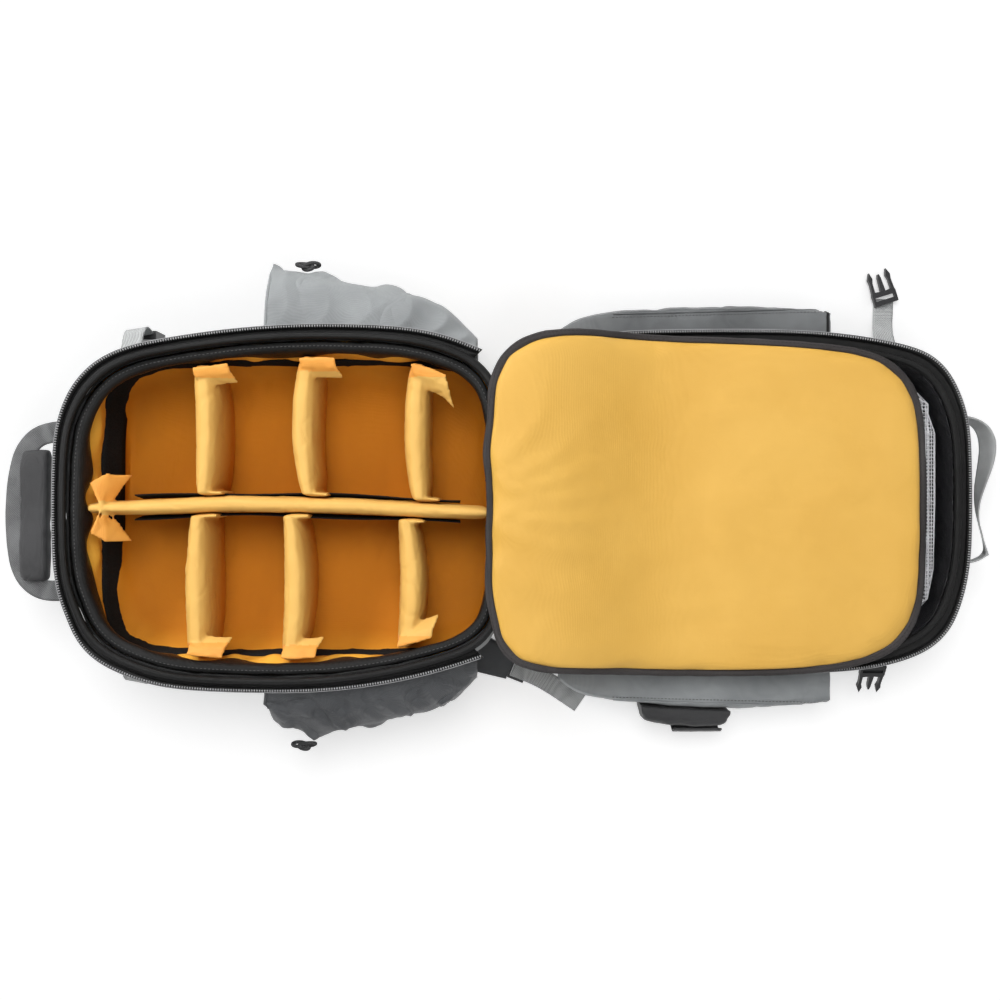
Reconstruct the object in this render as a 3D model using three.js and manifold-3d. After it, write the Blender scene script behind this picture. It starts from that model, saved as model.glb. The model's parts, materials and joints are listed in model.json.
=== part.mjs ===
// A fishing backpack lying open like a book, seen from above: the base with its padded dividers
// is at -X, the lid at +X, and a padded panel lies across the lid. Millimetres, +Z up.
import * as THREE from "three";
import { mergeVertices } from "three/addons/utils/BufferGeometryUtils.js";
import Module from "manifold-3d";

const wasm = await Module();
wasm.setup();

// Driving dimensions
const gap = 0.4; // between pieces that touch
const baseLength = 453;
const baseWidth = 360;
const baseDepth = 102; // height of the base's wall
const basePlace = { x: -210, y: -8 };
const lidLength = 453;
const lidWidth = 352;
const lidDepth = 76;
const hingeSpace = 10.5; // between the base's rim and the lid's
const baseHinge = basePlace.x + baseLength / 2;
const lidPlace = { x: baseHinge + hingeSpace + lidLength / 2, y: -2 };
const clothWall = 2.4; // outer fabric with its backing
const zipStand = 14; // how far the zip stands out from the wall
const zipCoil = 5.5; // across the zip's coil
const zipTape = 1.4;
const pipingRadius = 4;
const sideBatter = 12; // how far the base's long walls lean in at the floor
const topBatter = 18; // and the wall at the pack's top
const hingeBatter = 2; // and the wall at the hinge
const liningRim = 4; // padding of the lining at the rim
const liningFoot = 11; // and at the foot of the wall
const liningFloor = 3.6;
const liningFold = 2.2; // depth of the lining's waves under the facing
const liningFoldCount = 13;
const liningSlack = 0.4; // how much less square the lining's corners are than the wall's
const facingDrop = 20; // height of the black facing inside the rim
const facingWall = 2.2;
const bandTop = 58; // top of the hook-and-loop band above the base's floor
const bandHeight = 38;
const bandWall = 1.2;
const dividerHeight = 88;
const crossThickness = 23;
const centreThickness = 15;
const tabWall = 2.6;
const tabLength = 27;
const strapThickness = 9;
const strapWidth = 60;
const backPadThickness = 12;
const panelLength = 446;
const panelWidth = 346;
const panelThickness = 9;
const panelLap = 33.5; // how far the panel reaches over the base's rim
const panelPlace = { x: baseHinge - panelLap + panelLength / 2, y: -5 };
// X where the panel slopes from base to lid
const panelFall = { from: baseHinge + 0.04 * lidLength, to: baseHinge + 0.34 * lidLength };
const bindingWidth = 8;
const meshWall = 1.4;
const webbingWidth = 21;
const webbingThickness = 1.8;
const bottlePocketLength = 208;
const bottlePocketHeight = 84;
const bottlePocketReach = 84;
const bottlePocketWall = 2;
const sidePocketLength = 280;
const sidePocketHeight = 58;
const sidePocketReach = { upper: 43, lower: 54 };
const buckleWidth = 26;
const buckleThickness = 5;

// Heights worked out from the sizes above
const padBottom = strapThickness + gap;
const baseFloor = padBottom + backPadThickness + gap;
const baseRim = baseFloor + baseDepth;
const baseTop = baseRim + gap + 2 * pipingRadius;
const lidTop = lidDepth + gap + 2 * pipingRadius;
const compartmentFloor = baseFloor + clothWall + gap + liningFloor;
const dividerTop = compartmentFloor + dividerHeight;

// Half outlines at the rim: along runs from the hinge (-1) to the pack's top (1), and
// upper and lower are shares of the half width on each side.
const baseStations = [
  { along: 1.0, upper: 0.42, lower: 0.4 },
  { along: 0.97, upper: 0.56, lower: 0.52 },
  { along: 0.87, upper: 0.76, lower: 0.79 },
  { along: 0.74, upper: 0.86, lower: 0.88 },
  { along: 0.58, upper: 0.91, lower: 0.96 },
  { along: 0.14, upper: 0.985, lower: 1.0 },
  { along: -0.27, upper: 1.0, lower: 0.985 },
  { along: -0.67, upper: 0.955, lower: 0.89 },
  { along: -0.93, upper: 0.8, lower: 0.76 },
  { along: -1.0, upper: 0.45, lower: 0.45 },
];
const lidStations = [
  { along: 1.0, upper: 0.3, lower: 0.26 },
  { along: 0.985, upper: 0.5, lower: 0.45 },
  { along: 0.9, upper: 0.755, lower: 0.76 },
  { along: 0.82, upper: 0.855, lower: 0.855 },
  { along: 0.6, upper: 0.93, lower: 0.955 },
  { along: 0.3, upper: 0.98, lower: 0.99 },
  { along: -0.3, upper: 0.99, lower: 1.0 },
  { along: -0.7, upper: 0.97, lower: 0.97 },
  { along: -0.93, upper: 0.91, lower: 0.91 },
  { along: -1.0, upper: 0.72, lower: 0.72 },
];
const panelStations = [
  { along: 1.0, upper: 0.48, lower: 0.5 },
  { along: 0.975, upper: 0.65, lower: 0.68 },
  { along: 0.88, upper: 0.83, lower: 0.85 },
  { along: 0.76, upper: 0.9, lower: 0.925 },
  { along: 0.5, upper: 0.95, lower: 0.985 },
  { along: -0.2, upper: 0.99, lower: 1.0 },
  { along: -0.64, upper: 1.0, lower: 0.955 },
  { along: -0.8, upper: 0.975, lower: 0.94 },
  { along: -0.93, upper: 0.9, lower: 0.88 },
  { along: -1.0, upper: 0.73, lower: 0.7 },
];

// Finishes
const finishes = {
  greyCloth: { color: 0xa2a6a7, roughness: 0.8 },
  darkCloth: { color: 0x7b8084, roughness: 0.8 },
  blackCloth: { color: 0x222222, roughness: 0.7 },
  amberCloth: { color: 0xeeb95a, roughness: 0.65 },
  blackBand: { color: 0x17140f, roughness: 0.95 },
  binding: { color: 0x4b4646, roughness: 0.8 },
  webbing: { color: 0x9a9d9c, roughness: 0.8 },
  plastic: { color: 0x1b1b1c, roughness: 0.45 },
  mesh: { color: 0xa5a5a9, roughness: 0.8 },
};

const pack = new THREE.Group();

function add(name, finish, geometry) {
  const material = new THREE.MeshStandardMaterial({ ...finishes[finish], metalness: 0 });
  const mesh = new THREE.Mesh(geometry, material);
  mesh.name = name;
  pack.add(mesh);
  return mesh;
}

// Shape tools

// An indexed geometry whose faces are turned to point out.
function solid(points, faces) {
  let volume = 0;
  for (let i = 0; i < faces.length; i += 3) {
    const [a, b, c] = [points[faces[i]], points[faces[i + 1]], points[faces[i + 2]]];
    volume += a.dot(new THREE.Vector3().crossVectors(b, c));
  }
  if (volume < 0) {
    faces.reverse();
  }
  const geometry = new THREE.BufferGeometry().setFromPoints(points);
  geometry.setIndex(faces);
  geometry.computeVertexNormals();
  return geometry;
}

// The end cap of a ring with an even number of points, as strips across it.
function stripCap(count) {
  const faces = [];
  for (let j = 0; j < count / 2 - 1; j++) {
    faces.push([j, j + 1, count - 2 - j], [j, count - 2 - j, count - 1 - j]);
  }
  return faces;
}

// The end cap of a flat ring of any shape, its triangles turned the way that the ring runs.
function flatCap(flat) {
  const clockwise = THREE.ShapeUtils.isClockWise(flat);
  return THREE.ShapeUtils.triangulateShape(flat, []).map((triangle) => {
    const corners = triangle.map((i) => flat[i]);
    const same = THREE.ShapeUtils.isClockWise(corners) === clockwise;
    return same ? triangle : [...triangle].reverse();
  });
}

// A closed body through rings of points. It closes on itself, or ends in two caps.
function loft(rings, { closed = false, cap = stripCap(rings[0].length) } = {}) {
  const around = rings[0].length;
  const faces = [];
  const steps = closed ? rings.length : rings.length - 1;
  for (let i = 0; i < steps; i++) {
    const near = i * around;
    const far = ((i + 1) % rings.length) * around;
    for (let j = 0; j < around; j++) {
      const next = (j + 1) % around;
      faces.push(near + j, near + next, far + next, near + j, far + next, far + j);
    }
  }
  if (!closed) {
    const end = (rings.length - 1) * around;
    for (const [a, b, c] of cap) {
      faces.push(a, c, b, end + a, end + b, end + c);
    }
  }
  return solid(rings.flat(), faces);
}

// A sheet of even thickness, centred on a grid of points.
function thickSheet(grid, thickness) {
  const rows = grid.length - 1;
  const columns = grid[0].length - 1;
  const normal = (i, j) => {
    const down = grid[Math.min(i + 1, rows)][j].clone().sub(grid[Math.max(i - 1, 0)][j]);
    const across = grid[i][Math.min(j + 1, columns)].clone().sub(grid[i][Math.max(j - 1, 0)]);
    return down.cross(across).setLength(thickness / 2);
  };
  const rings = grid.map((row, i) => [
    ...row.map((point, j) => point.clone().add(normal(i, j))),
    ...row.map((point, j) => point.clone().sub(normal(i, j))).reverse(),
  ]);
  return loft(rings);
}

// Flat webbing through rows of x, y, z, the direction across it and how much it narrows.
function ribbon(rows, width, thickness) {
  const at = rows.map((row) => new THREE.Vector3(row.x, row.y, row.z));
  const rings = rows.map((row, i) => {
    const along = at[Math.min(i + 1, at.length - 1)].clone().sub(at[Math.max(i - 1, 0)]);
    const across = new THREE.Vector3(...row.across).normalize();
    const face = along.normalize().cross(across).setLength(thickness / 2);
    const side = across.multiplyScalar(((row.narrow ?? 1) * width) / 2);
    return [
      at[i].clone().add(side).add(face),
      at[i].clone().sub(side).add(face),
      at[i].clone().sub(side).sub(face),
      at[i].clone().add(side).sub(face),
    ];
  });
  return loft(rings);
}

// A tube along a smooth curve through hand-picked points.
function tube(points, radius, steps, sides = 3) {
  const section = new THREE.Shape();
  section.absarc(0, 0, radius, 0, 2 * Math.PI);
  const path = new THREE.CatmullRomCurve3(points.map((p) => new THREE.Vector3(...p)));
  return new THREE.ExtrudeGeometry(section, {
    extrudePath: path,
    steps,
    curveSegments: sides,
    bevelEnabled: false,
  });
}

function box(low, high) {
  const size = high.map((value, i) => value - low[i]);
  const middle = high.map((value, i) => (value + low[i]) / 2);
  return new THREE.BoxGeometry(...size).translate(...middle);
}

// Booleans
function toManifold(geometry) {
  const bare = geometry.clone();
  bare.deleteAttribute("normal");
  bare.deleteAttribute("uv");
  const merged = mergeVertices(bare, 1e-3);
  const vertProperties = merged.attributes.position.array;
  const triVerts = new Uint32Array(merged.index.array);
  return new wasm.Manifold(new wasm.Mesh({ numProp: 3, vertProperties, triVerts }));
}

function fromManifold(manifold) {
  const mesh = manifold.getMesh();
  const geometry = new THREE.BufferGeometry();
  geometry.setAttribute("position", new THREE.BufferAttribute(mesh.vertProperties, 3));
  geometry.setIndex(new THREE.BufferAttribute(mesh.triVerts, 1));
  geometry.computeVertexNormals();
  return geometry;
}

function join(...geometries) {
  const [first, ...rest] = geometries.map(toManifold);
  return fromManifold(rest.reduce((whole, piece) => whole.add(piece), first));
}

function cut(geometry, ...cutters) {
  const start = toManifold(geometry);
  return fromManifold(cutters.map(toManifold).reduce((whole, tool) => whole.subtract(tool), start));
}

// Outlines

const loopCount = 48;

// Evenly spaced points of an outline, as shares of its half sizes.
function shares(stations, direction) {
  const upper = stations.map((row) => new THREE.Vector3(direction * row.along, row.upper, 0));
  const lower = stations.map((row) => new THREE.Vector3(direction * row.along, -row.lower, 0));
  const curve = new THREE.CatmullRomCurve3([...upper, ...lower.reverse()], true, "centripetal");
  const points = curve.getSpacedPoints(loopCount).slice(0, loopCount);
  const reach = new THREE.Box3().setFromPoints(points);
  return points.map((point) => {
    const x = THREE.MathUtils.mapLinear(point.x, reach.min.x, reach.max.x, -1, 1);
    const y = THREE.MathUtils.mapLinear(point.y, reach.min.y, reach.max.y, -1, 1);
    return new THREE.Vector2(x, y);
  });
}

// The row of a table at a share along it, each named column worked out between its neighbours.
function rowAt(rows, share) {
  const found = rows.findIndex((row, i) => i > 0 && share <= row.along);
  const [a, b] = [rows[found - 1], rows[found]];
  const part = (share - a.along) / (b.along - a.along);
  const columns = Object.keys(a).map((key) => [key, THREE.MathUtils.lerp(a[key], b[key], part)]);
  return Object.fromEntries(columns);
}

// A table worked out finer, with each of its own rows kept.
function finer(rows, most) {
  const fine = [rows[0]];
  for (let i = 1; i < rows.length; i++) {
    const [from, to] = [rows[i - 1].along, rows[i].along];
    const steps = Math.ceil((to - from) / most);
    for (let k = 1; k <= steps; k++) {
      fine.push(rowAt(rows, k === steps ? to : from + ((to - from) * k) / steps));
    }
  }
  return fine;
}

function outlineOf(stations, direction, place, length, width) {
  return { points: shares(stations, direction), direction, ...place, length, width };
}

// The insets of a wall at its long sides, at the pack's top and at the hinge, and how square its
// corners are, from 0 as at the rim to 1.
const inset = (side, top = side, hinge = side, square = 0) => ({ side, top, hinge, square });
const deeper = (a, by) => inset(a.side + by, a.top + by, a.hinge + by, a.square);
const squareShare = (share) =>
  THREE.MathUtils.clamp((share - cornerFrom) / (cornerTo - cornerFrom), 0, 1);
const between = (a, b, share) =>
  inset(
    THREE.MathUtils.lerp(a.side, b.side, share),
    THREE.MathUtils.lerp(a.top, b.top, share),
    THREE.MathUtils.lerp(a.hinge, b.hinge, share),
    THREE.MathUtils.lerp(a.square, b.square, squareShare(share)),
  );

// A share of the outline moved out towards a box with small round corners
const boxPower = 9;
function squarer(share, square) {
  const reach = (Math.abs(share.x) ** boxPower + Math.abs(share.y) ** boxPower) ** (1 / boxPower);
  const scale = THREE.MathUtils.lerp(1, 1 / reach, square);
  return { x: share.x * scale, y: share.y * scale };
}

// The outline drawn in by an inset, at height z.
function loopAt(outline, wall, z) {
  const halfLength = (outline.length - wall.top - wall.hinge) / 2;
  const halfWidth = outline.width / 2 - wall.side;
  const middle = outline.x + (outline.direction * (wall.hinge - wall.top)) / 2;
  return outline.points.map((point) => {
    const share = squarer(point, wall.square);
    return new THREE.Vector3(middle + share.x * halfLength, outline.y + share.y * halfWidth, z);
  });
}

// Y of the outline's upper (1) or lower (-1) side at x.
function sideAt(outline, wall, x, side) {
  const loop = loopAt(outline, wall, 0);
  for (let i = 0; i < loop.length; i++) {
    const a = loop[i];
    const b = loop[(i + 1) % loop.length];
    const onSide = (a.y + b.y - 2 * outline.y) * side > 0;
    if (onSide && (a.x - x) * (b.x - x) <= 0 && a.x !== b.x) {
      return a.y + ((b.y - a.y) * (x - a.x)) / (b.x - a.x);
    }
  }
  return outline.y;
}

// X of the outline at y, on the side of the pack's top.
function topAt(outline, wall, y) {
  const loop = loopAt(outline, wall, 0);
  for (let i = 0; i < loop.length; i++) {
    const a = loop[i];
    const b = loop[(i + 1) % loop.length];
    const onTop = (a.x - outline.x) * outline.direction > 0;
    if (onTop && (a.y - y) * (b.y - y) <= 0 && a.y !== b.y) {
      return a.x + ((b.x - a.x) * (y - a.y)) / (b.y - a.y);
    }
  }
  return outline.x;
}

// The direction along the outline's side at x, over a width.
function runAt(outline, wall, x, side, width) {
  const [from, to] = [x - width / 2, x + width / 2];
  return [width, sideAt(outline, wall, to, side) - sideAt(outline, wall, from, side), 0];
}

// X of the outline's end at the pack's top (1) or the hinge (-1).
function endAt(outline, wall, end) {
  const reach = outline.length / 2 - (end > 0 ? wall.top : wall.hinge);
  return outline.x + outline.direction * end * reach;
}

// A band that follows the outline, its profile a list of an inset and a height. An open band
// stops short of the hinge at a share of the half length.
function edgeBand(outline, profile, openAt = null) {
  const rings = outline.points.map((share, i) =>
    profile.map(([wall, z]) => loopAt(outline, wall, z)[i]),
  );
  if (openAt === null) {
    return loft(rings, { closed: true });
  }
  const isOpen = (i) => outline.points[i].x * outline.direction < openAt;
  const first = rings.findIndex((_, i) => !isOpen(i) && isOpen((i - 1 + loopCount) % loopCount));
  const turned = [...rings.slice(first), ...rings.slice(0, first)];
  const kept = turned.filter((_, i) => !isOpen((i + first) % loopCount));
  return loft(kept, { cap: flatCap(profile.map(([wall, z]) => new THREE.Vector2(wall.side, z))) });
}

function roundProfile(middle, z, radius, sides) {
  return Array.from({ length: sides }, (_, i) => {
    const angle = (2 * Math.PI * i) / sides;
    return [deeper(middle, radius * Math.cos(angle)), z + radius * Math.sin(angle)];
  });
}

// The shares of the wall's depth where its corners begin to be squarer, and are as square as
// they get
const cornerFrom = 0.05;
const cornerTo = 0.25;

const base = outlineOf(baseStations, -1, basePlace, baseLength, baseWidth);
const lid = outlineOf(lidStations, 1, lidPlace, lidLength, lidWidth);
const panel = outlineOf(panelStations, 1, panelPlace, panelLength, panelWidth);

// The base's wall, outside, and the lining's inner face
const wallRim = inset(zipStand);
const footSquare = 0.9;
const wallFoot = inset(
  zipStand + sideBatter,
  zipStand + topBatter,
  zipStand + hingeBatter,
  footSquare,
);
const innerRim = deeper(wallRim, clothWall + gap + liningRim);
const innerFoot = deeper(wallFoot, clothWall + gap + liningFoot);
const liningTop = baseRim - zipTape - 3;

const wallAt = (z) => between(wallRim, wallFoot, (baseRim - z) / baseDepth);
const shoulderZ = baseRim - cornerFrom * baseDepth;
const kneeZ = baseRim - cornerTo * baseDepth;
const innerAt = (z) =>
  between(innerRim, innerFoot, (liningTop - z) / (liningTop - compartmentFloor));

function baseBody() {
  const within = (z) => deeper(wallAt(z), clothWall);
  return loft([
    loopAt(base, deeper(wallFoot, 4), baseFloor),
    loopAt(base, wallAt(baseFloor + 5), baseFloor + 5),
    loopAt(base, wallAt(kneeZ), kneeZ),
    loopAt(base, wallAt(shoulderZ), shoulderZ),
    loopAt(base, wallRim, baseRim),
    loopAt(base, within(baseRim), baseRim),
    loopAt(base, within(shoulderZ), shoulderZ),
    loopAt(base, within(kneeZ), kneeZ),
    loopAt(base, within(baseFloor + 5), baseFloor + 5),
    loopAt(base, deeper(within(baseFloor + clothWall), 3), baseFloor + clothWall),
  ]);
}

// The lining's wall waves in and out between the facing and the hook-and-loop band.
function baseLining() {
  const outside = (z) => {
    const wall = deeper(wallAt(z), clothWall + gap);
    return { ...wall, square: wall.square - liningSlack };
  };
  const waveZ = [0.78, 0.7].map((share) => baseFloor + share * baseDepth);
  const wave = (z) => {
    const deep = loopAt(base, deeper(innerAt(z), liningFold), z);
    const plain = loopAt(base, innerAt(z), z);
    return plain.map((point, i) => {
      const turn = (2 * Math.PI * liningFoldCount * i) / loopCount;
      return point.lerp(deep[i], 0.5 + 0.5 * Math.sin(turn));
    });
  };
  const bottom = baseFloor + clothWall + gap;
  return loft([
    loopAt(base, deeper(outside(bottom), 6), bottom),
    loopAt(base, outside(bottom + 6), bottom + 6),
    loopAt(base, outside(kneeZ), kneeZ),
    loopAt(base, outside(shoulderZ), shoulderZ),
    loopAt(base, outside(liningTop), liningTop),
    loopAt(base, innerRim, liningTop),
    wave(waveZ[0]),
    wave(waveZ[1]),
    loopAt(base, innerAt(baseFloor + bandTop + 2), baseFloor + bandTop + 2),
    loopAt(base, innerFoot, compartmentFloor),
  ]);
}

// The black facing folds over the top of the wall and hangs inside it.
const facingFoot = liningTop - facingDrop;
const facingSquare = 0.45;
const facingOutside = {
  ...deeper(innerAt(facingFoot), gap + liningFold),
  square: facingSquare,
};
function baseFacing() {
  return edgeBand(base, [
    [deeper(wallAt(liningTop), clothWall + gap), liningTop + gap],
    [deeper(wallAt(liningTop), clothWall + gap), baseRim],
    [deeper(innerRim, 2), baseRim + 1.5],
    [{ ...deeper(facingOutside, facingWall - 0.5), square: 0 }, baseRim - 3],
    [deeper(facingOutside, facingWall), facingFoot],
    [facingOutside, facingFoot],
    [deeper(innerRim, gap + 0.4), liningTop + gap],
  ]);
}

const zipProfile = (rim) => [
  [inset(0.5), rim - 2],
  [inset(0), rim + 0.6],
  [inset(1.4), rim + 3],
  [inset(zipCoil - 1.4), rim + 3],
  [inset(zipCoil), rim + 0.6],
  [inset(zipCoil), rim - gap],
  [inset(zipStand - gap), rim - gap],
  [inset(zipStand - gap), rim - gap - zipTape],
  [inset(zipCoil - 1), rim - gap - zipTape],
];

function bandOnWall() {
  const top = baseFloor + bandTop;
  const foot = top - bandHeight;
  return edgeBand(base, [
    [deeper(innerAt(top), gap), top],
    [deeper(innerAt(top), gap + bandWall), top],
    [deeper(innerAt(foot), gap + bandWall), foot],
    [deeper(innerAt(foot), gap), foot],
  ]);
}

add("base_body", "greyCloth", baseBody());
add("base_lining", "amberCloth", baseLining());
add("base_facing", "blackCloth", baseFacing());
add("base_zip", "blackCloth", edgeBand(base, zipProfile(baseRim), -0.94));
const basePipe = inset(zipStand - pipingRadius + 2.2);
const basePipeProfile = roundProfile(basePipe, baseRim + gap + pipingRadius, pipingRadius, 6);
add("base_piping", "blackCloth", edgeBand(base, basePipeProfile));
add("base_loop_band", "blackBand", bandOnWall());

// The centre divider: shares of the compartment's length from the pack's top, and its sway
const centreSway = 6;
const centreStations = [
  { along: 0, sway: 0, thick: 0.75 },
  { along: 0.12, sway: 0.1, thick: 0.9 },
  { along: 0.35, sway: 0.75, thick: 1 },
  { along: 0.65, sway: 0.35, thick: 0.95 },
  { along: 0.85, sway: -0.4, thick: 0.9 },
  { along: 1, sway: -0.8, thick: 0.75 },
];
const wallClear = gap + liningFold + facingWall + gap;
const clearAt = (z) =>
  z > facingFoot ? deeper(facingOutside, facingWall + gap) : deeper(innerAt(z), wallClear);
const centreFrom = (z) => endAt(base, clearAt(z), 1);
const centreTo = (z) => endAt(base, clearAt(z), -1);

function centreY(x) {
  const [from, to] = [centreFrom(dividerTop), centreTo(dividerTop)];
  const share = THREE.MathUtils.clamp((x - from) / (to - from), 0, 1);
  return base.y + centreSway * rowAt(centreStations, share).sway;
}

// Half the section of a padded divider: width as a share, and height as a share
const dividerSection = [
  { wide: 0.8, high: 0 },
  { wide: 1, high: 0.35 },
  { wide: 0.95, high: 0.75 },
  { wide: 0.8, high: 0.93 },
  { wide: 0.4, high: 1 },
];

// Points round the section, first up one face and then down the other.
function sectionPoints(place) {
  const up = dividerSection.map((row) => place(row.wide, row.high));
  const down = dividerSection.map((row) => place(-row.wide, row.high)).reverse();
  return [...up, ...down];
}

const dividerZ = (high) => compartmentFloor + gap + high * (dividerHeight - gap);

function centrePad() {
  const rings = centreStations.map((row) =>
    sectionPoints((wide, high) => {
      const z = dividerZ(high);
      const x = THREE.MathUtils.lerp(centreFrom(z), centreTo(z), row.along);
      const y = base.y + centreSway * row.sway + (wide * row.thick * centreThickness) / 2;
      return new THREE.Vector3(x, y, z);
    }),
  );
  return loft(rings);
}

// A tab that is folded over at the pack's top, up (1) or down (-1) from the divider: from its wall
// edge to its inner edge, how far each point is in from the wall, out along it, and down.
const centreTabRows = [
  [
    { deep: 14, out: 1, down: -1 },
    { deep: 8, out: 14, down: -1.5 },
    { deep: 3, out: 25, down: -1.5 },
  ],
  [
    { deep: 15, out: 1, down: 4 },
    { deep: 16, out: 17, down: 5 },
    { deep: 17, out: 34, down: 6 },
  ],
  [
    { deep: 17, out: 1, down: 12 },
    { deep: 27, out: 17, down: 19 },
    { deep: 37, out: 33, down: 26 },
  ],
];
function centreTab(side) {
  const from = centreFrom(dividerTop);
  const rows = centreTabRows.map((row) =>
    row.map(
      ({ deep, out, down }) =>
        new THREE.Vector3(from + deep, base.y + side * out, dividerTop - down),
    ),
  );
  return thickSheet(rows, tabWall);
}

add("centre_divider", "amberCloth", join(centrePad(), centreTab(1), centreTab(-1)));

// Hook-and-loop strips on both faces of the centre divider
const stripHeight = 30;
function centreStrip(side) {
  const highs = [0.93 - stripHeight / dividerHeight, 0.75];
  const alongs = [0.1, 0.3, 0.5, 0.7, 0.93];
  const rows = alongs.map((along) =>
    highs.map((high) => {
      const z = dividerZ(high);
      const x = THREE.MathUtils.lerp(centreFrom(z), centreTo(z), along);
      const y = centreY(x) + side * (centreThickness / 2 + gap + bandWall / 2 + 0.3);
      return new THREE.Vector3(x, y, z);
    }),
  );
  return thickSheet(rows, bandWall);
}
add("centre_strip_upper", "blackBand", centreStrip(1));
add("centre_strip_lower", "blackBand", centreStrip(-1));

// Cross dividers: place from the pack's top as a share of the base's length, bow as a share of
// the thickness, and the side of the centre divider that they stand on
const crossDividers = [
  { name: "cross_divider_upper_1", place: 0.317, side: 1, bow: 0.12 },
  { name: "cross_divider_upper_2", place: 0.547, side: 1, bow: -0.3 },
  { name: "cross_divider_upper_3", place: 0.789, side: 1, bow: -0.2 },
  { name: "cross_divider_lower_1", place: 0.305, side: -1, bow: -0.1 },
  { name: "cross_divider_lower_2", place: 0.505, side: -1, bow: 0.25 },
  { name: "cross_divider_lower_3", place: 0.757, side: -1, bow: 0.3 },
];
const crossStations = [
  { along: 0, thick: 0.7, bow: 0 },
  { along: 0.12, thick: 0.85, bow: 0.4 },
  { along: 0.4, thick: 1, bow: 1 },
  { along: 0.7, thick: 1, bow: 0.85 },
  { along: 0.92, thick: 0.9, bow: 0.3 },
  { along: 1, thick: 0.75, bow: 0 },
];

// The tab at the wall lies over the divider's end, and slopes down from the wall
const wallTabRows = [
  { high: 1.06, deep: 0, slide: 0 },
  { high: 1.03, deep: 9, slide: 2 },
  { high: 0.9, deep: 19, slide: 7 },
];

function crossDivider({ place, side, bow }) {
  const x = base.x - base.length / 2 + place * base.length;
  const start = centreY(x) + side * (centreThickness / 2 + 2 * gap + bandWall + 0.8);
  const wallY = (z, atX, clear) => {
    const plain = sideAt(base, deeper(clearAt(z), clear), atX, side);
    if (z < facingFoot - 8) {
      return plain;
    }
    const facing = deeper(facingOutside, facingWall + gap + clear);
    const nearer = [0, facingSquare].map((square) =>
      sideAt(base, { ...facing, square }, atX, side),
    );
    return side * Math.min(side * plain, side * nearer[0], side * nearer[1]);
  };
  const rings = crossStations.map((row) =>
    sectionPoints((wide, high) => {
      const z = dividerZ(high);
      const atX = x + ((wide * row.thick) / 2 + bow * row.bow) * crossThickness;
      const y = THREE.MathUtils.lerp(start, wallY(z, atX, gap), row.along);
      return new THREE.Vector3(atX, y, z);
    }),
  );
  const wallTab = wallTabRows.map(({ high, deep, slide }) => {
    const z = dividerZ(high);
    const clear = tabWall / 2 + 0.5 + deep;
    return [-0.3, 0.45, 1].map((out) => {
      const atX = x + out * tabLength + slide;
      return new THREE.Vector3(atX, wallY(z, atX, clear), z - 3 * Math.abs(out));
    });
  });
  const innerTab = [0.4, 0.98].map((high) =>
    [-4, 0.35 * tabLength, 0.75 * tabLength].map((out) => {
      const y = centreY(x + out) + side * (centreThickness / 2 + 2 * gap + bandWall + 0.8);
      return new THREE.Vector3(x + out, y + (side * tabWall) / 2, dividerZ(high));
    }),
  );
  return join(loft(rings), thickSheet(wallTab, tabWall), thickSheet(innerTab, tabWall));
}
for (const row of crossDividers) {
  add(row.name, "amberCloth", crossDivider(row));
}

// The back pad and the shoulder straps that the base lies on
add(
  "back_pad",
  "darkCloth",
  loft([
    loopAt(base, deeper(wallFoot, 14), padBottom),
    loopAt(base, deeper(wallFoot, 9), padBottom + 4),
    loopAt(base, deeper(wallFoot, 9), padBottom + backPadThickness - 4),
    loopAt(base, deeper(wallFoot, 14), padBottom + backPadThickness),
  ]),
);

// Strap routes: along is a share of the base's length from the pack's top, out a share of the
// base's half width
const strapRoutes = {
  shoulder_strap_upper: [
    { along: 0.09, out: 0.2 },
    { along: 0.3, out: 0.26 },
    { along: 0.55, out: 0.42 },
    { along: 0.75, out: 0.5 },
    { along: 0.93, out: 0.5 },
  ],
  shoulder_strap_lower: [
    { along: 0.09, out: -0.24 },
    { along: 0.3, out: -0.3 },
    { along: 0.55, out: -0.5 },
    { along: 0.78, out: -0.74 },
    { along: 0.99, out: -0.95, narrow: 0.5 },
  ],
};
const strapPoint = ({ along, out, narrow = 1 }, z) => ({
  x: base.x - base.length / 2 + along * base.length,
  y: base.y + (out * base.width) / 2,
  z,
  narrow,
});

function crosswise(rows) {
  return rows.map((row, i) => {
    const next = rows[Math.min(i + 1, rows.length - 1)];
    const last = rows[Math.max(i - 1, 0)];
    return { ...row, across: [last.y - next.y, next.x - last.x, 0] };
  });
}

for (const [name, route] of Object.entries(strapRoutes)) {
  const rows = crosswise(route.map((row) => strapPoint(row, strapThickness / 2)));
  add(name, "darkCloth", ribbon(rows, strapWidth, strapThickness));
}

// A slotted plastic frame that the webbing runs through
function ladderLock() {
  const half = buckleWidth / 2;
  const frame = new THREE.Shape();
  frame.moveTo(-half, -9);
  frame.lineTo(half, -9);
  frame.lineTo(half, 9);
  frame.lineTo(-half, 9);
  frame.closePath();
  for (const y of [-4.5, 4.5]) {
    const slot = new THREE.Path();
    slot.moveTo(-half + 2.5, y - 2.5);
    slot.lineTo(half - 2.5, y - 2.5);
    slot.lineTo(half - 2.5, y + 2.5);
    slot.lineTo(-half + 2.5, y + 2.5);
    slot.closePath();
    frame.holes.push(slot);
  }
  return new THREE.ExtrudeGeometry(frame, { depth: buckleThickness, bevelEnabled: false });
}
const lowerRoute = strapRoutes.shoulder_strap_lower.map((row) => strapPoint(row, 0));
const strapEnd = lowerRoute[lowerRoute.length - 1];
const strapTurn = Math.atan2(strapEnd.y - lowerRoute[3].y, strapEnd.x - lowerRoute[3].x);
const lockOut = 9 + gap;
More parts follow.
